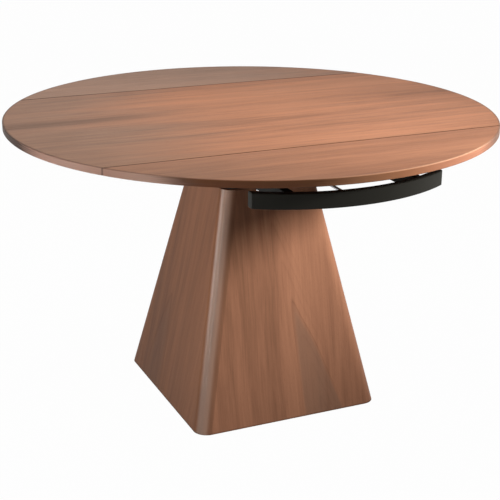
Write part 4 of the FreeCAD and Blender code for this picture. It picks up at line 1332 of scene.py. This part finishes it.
@dataclass
class Studio:
    """Pale floor, white backdrop and soft light."""

    floor_radius: float = 28.0
    floor_drop: float = 0.0003
    backdrop_height: float = 8.0
    steps: int = 96
    paper_colour: Colour = (0.26, 0.26, 0.26, 1.0)
    white: Colour = (1.0, 1.0, 1.0, 1.0)
    shown_white: float = 0.985
    ambient: Colour = (0.12, 0.12, 0.12, 1.0)
    boxes: Tuple[SoftBox, ...] = (
        SoftBox("key_box", (-0.05, 0.20, 3.2), (0.0, 0.05, 0.7), (1.3, 1.3), 46.0,
                (1.0, 0.97, 0.93)),
        SoftBox("left_box", (-2.6, 0.45, 0.75), (-0.2, 0.0, 1.25), (1.1, 1.0), 5.3,
                (1.0, 0.98, 0.96), 90.0),
        SoftBox("right_box", (2.37, -1.93, 2.00), (0.02, -0.2, 0.53), (0.6, 0.6), 3.9,
                (1.0, 0.96, 0.92), 26.0, glints=False),
        SoftBox("corner_strip", (-2.15, -0.97, 0.72), (-0.25, -0.25, 0.42), (0.25, 0.60), 0.92,
                (1.0, 0.98, 0.94), 60.0),
        SoftBox("low_strip", (-2.1, -1.15, 0.12), (-0.4, -0.4, 0.7), (1.8, 0.18), 0.45,
                (1.0, 0.98, 0.97), 40.0),
        SoftBox("back_fill", (0.9, 2.9, 0.36), (0.0, 0.2, 0.36), (1.6, 0.66), 12.0,
                (1.0, 0.98, 0.96), 120.0),
    )

    def paper(self) -> bpy.types.Material:
        """Paper that shows white but keeps a soft shadow.

        Returns:
            Its material.
        """
        material = bpy.data.materials.new("studio_paper")
        material.use_nodes = True
        sheet = Sheet(material.node_tree)
        camera = sheet.node("ShaderNodeLightPath", {}, {}, "Is Camera Ray")
        seen = camera + camera.other("Is Glossy Ray") + camera.other("Is Transmission Ray")
        matt = sheet.node("ShaderNodeBsdfDiffuse", {}, {"Color": self.paper_colour})
        glow = sheet.node("ShaderNodeEmission", {}, {"Color": self.white, "Strength": 1.0})
        sheet.end(sheet.node("ShaderNodeMixShader", {}, {0: seen * self.shown_white, 1: matt, 2: glow}))
        return material

    def lay_floor(self) -> None:
        """Round floor with a backdrop about its edge."""
        shape = bmesh.new()
        turns = [2 * math.pi * step / self.steps for step in range(self.steps)]
        places = [(self.floor_radius * math.cos(turn), self.floor_radius * math.sin(turn))
                  for turn in turns]
        edge = [shape.verts.new((x, y, 0.0)) for x, y in places]
        head = [shape.verts.new((x, y, self.backdrop_height)) for x, y in places]
        shape.faces.new(edge)
        for step in range(self.steps):
            after = (step + 1) % self.steps
            shape.faces.new((edge[after], edge[step], head[step], head[after]))
        mesh = bpy.data.meshes.new("studio_floor")
        shape.to_mesh(mesh)
        shape.free()
        mesh.materials.append(self.paper())
        floor = bpy.data.objects.new("studio_floor", mesh)
        floor.location.z = -self.floor_drop
        bpy.context.scene.collection.objects.link(floor)

    def paint_world(self) -> None:
        """Even grey light from above the backdrop."""
        world = bpy.data.worlds.new("studio")
        world.use_nodes = True
        bpy.context.scene.world = world
        sheet = Sheet(world.node_tree)
        sky = sheet.node("ShaderNodeBackground", {}, {"Color": self.ambient, "Strength": 1.0})
        sheet.end(sky, "ShaderNodeOutputWorld")

    def build(self) -> None:
        """Set up the whole studio."""
        self.lay_floor()
        self.paint_world()
        for box in self.boxes:
            box.hang()
        bpy.context.scene.view_settings.view_transform = "Standard"


@dataclass
class PhotoCamera:
    """Camera at the photograph's viewpoint."""

    azimuth: float = -24.33
    elevation: float = 19.48
    roll: float = 0.505
    distance: float = 3.224
    target: Point = (0.0, 0.0, 0.3825)
    lens: float = 86.26
    sensor: float = 36.0

    def place(self) -> None:
        """Add the camera and make it the scene's."""
        turn, tilt = math.radians(self.azimuth), math.radians(self.elevation)
        flat = math.cos(tilt)
        back = Vector((math.sin(turn) * flat, -math.cos(turn) * flat, math.sin(tilt)))
        lens = bpy.data.cameras.new("photo_camera")
        lens.lens = self.lens
        lens.sensor_width = self.sensor
        camera = bpy.data.objects.new("photo_camera", lens)
        camera.location = Vector(self.target) + back * self.distance
        level = (-back).to_track_quat("-Z", "Y")
        rolled = Quaternion((0.0, 0.0, 1.0), math.radians(self.roll))
        camera.rotation_euler = (level @ rolled).to_euler()
        bpy.context.scene.collection.objects.link(camera)
        bpy.context.scene.camera = camera


def write_sizes() -> None:
    """Update the view layer so that every placement is current."""
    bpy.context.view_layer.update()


def main() -> None:
    """Build the camera, the studio and every sub-assembly."""
    logging.basicConfig(level=logging.INFO, format="%(message)s")
    PhotoCamera().place()
    Studio().build()
    carriages = (Carriage("front", -1, FRONT_VENEER), Carriage("back", 1, BACK_VENEER))
    for part in (Pedestal(), Turntable()) + carriages:
        part.build()
    write_sizes()


if __name__ == "__main__":
    main()
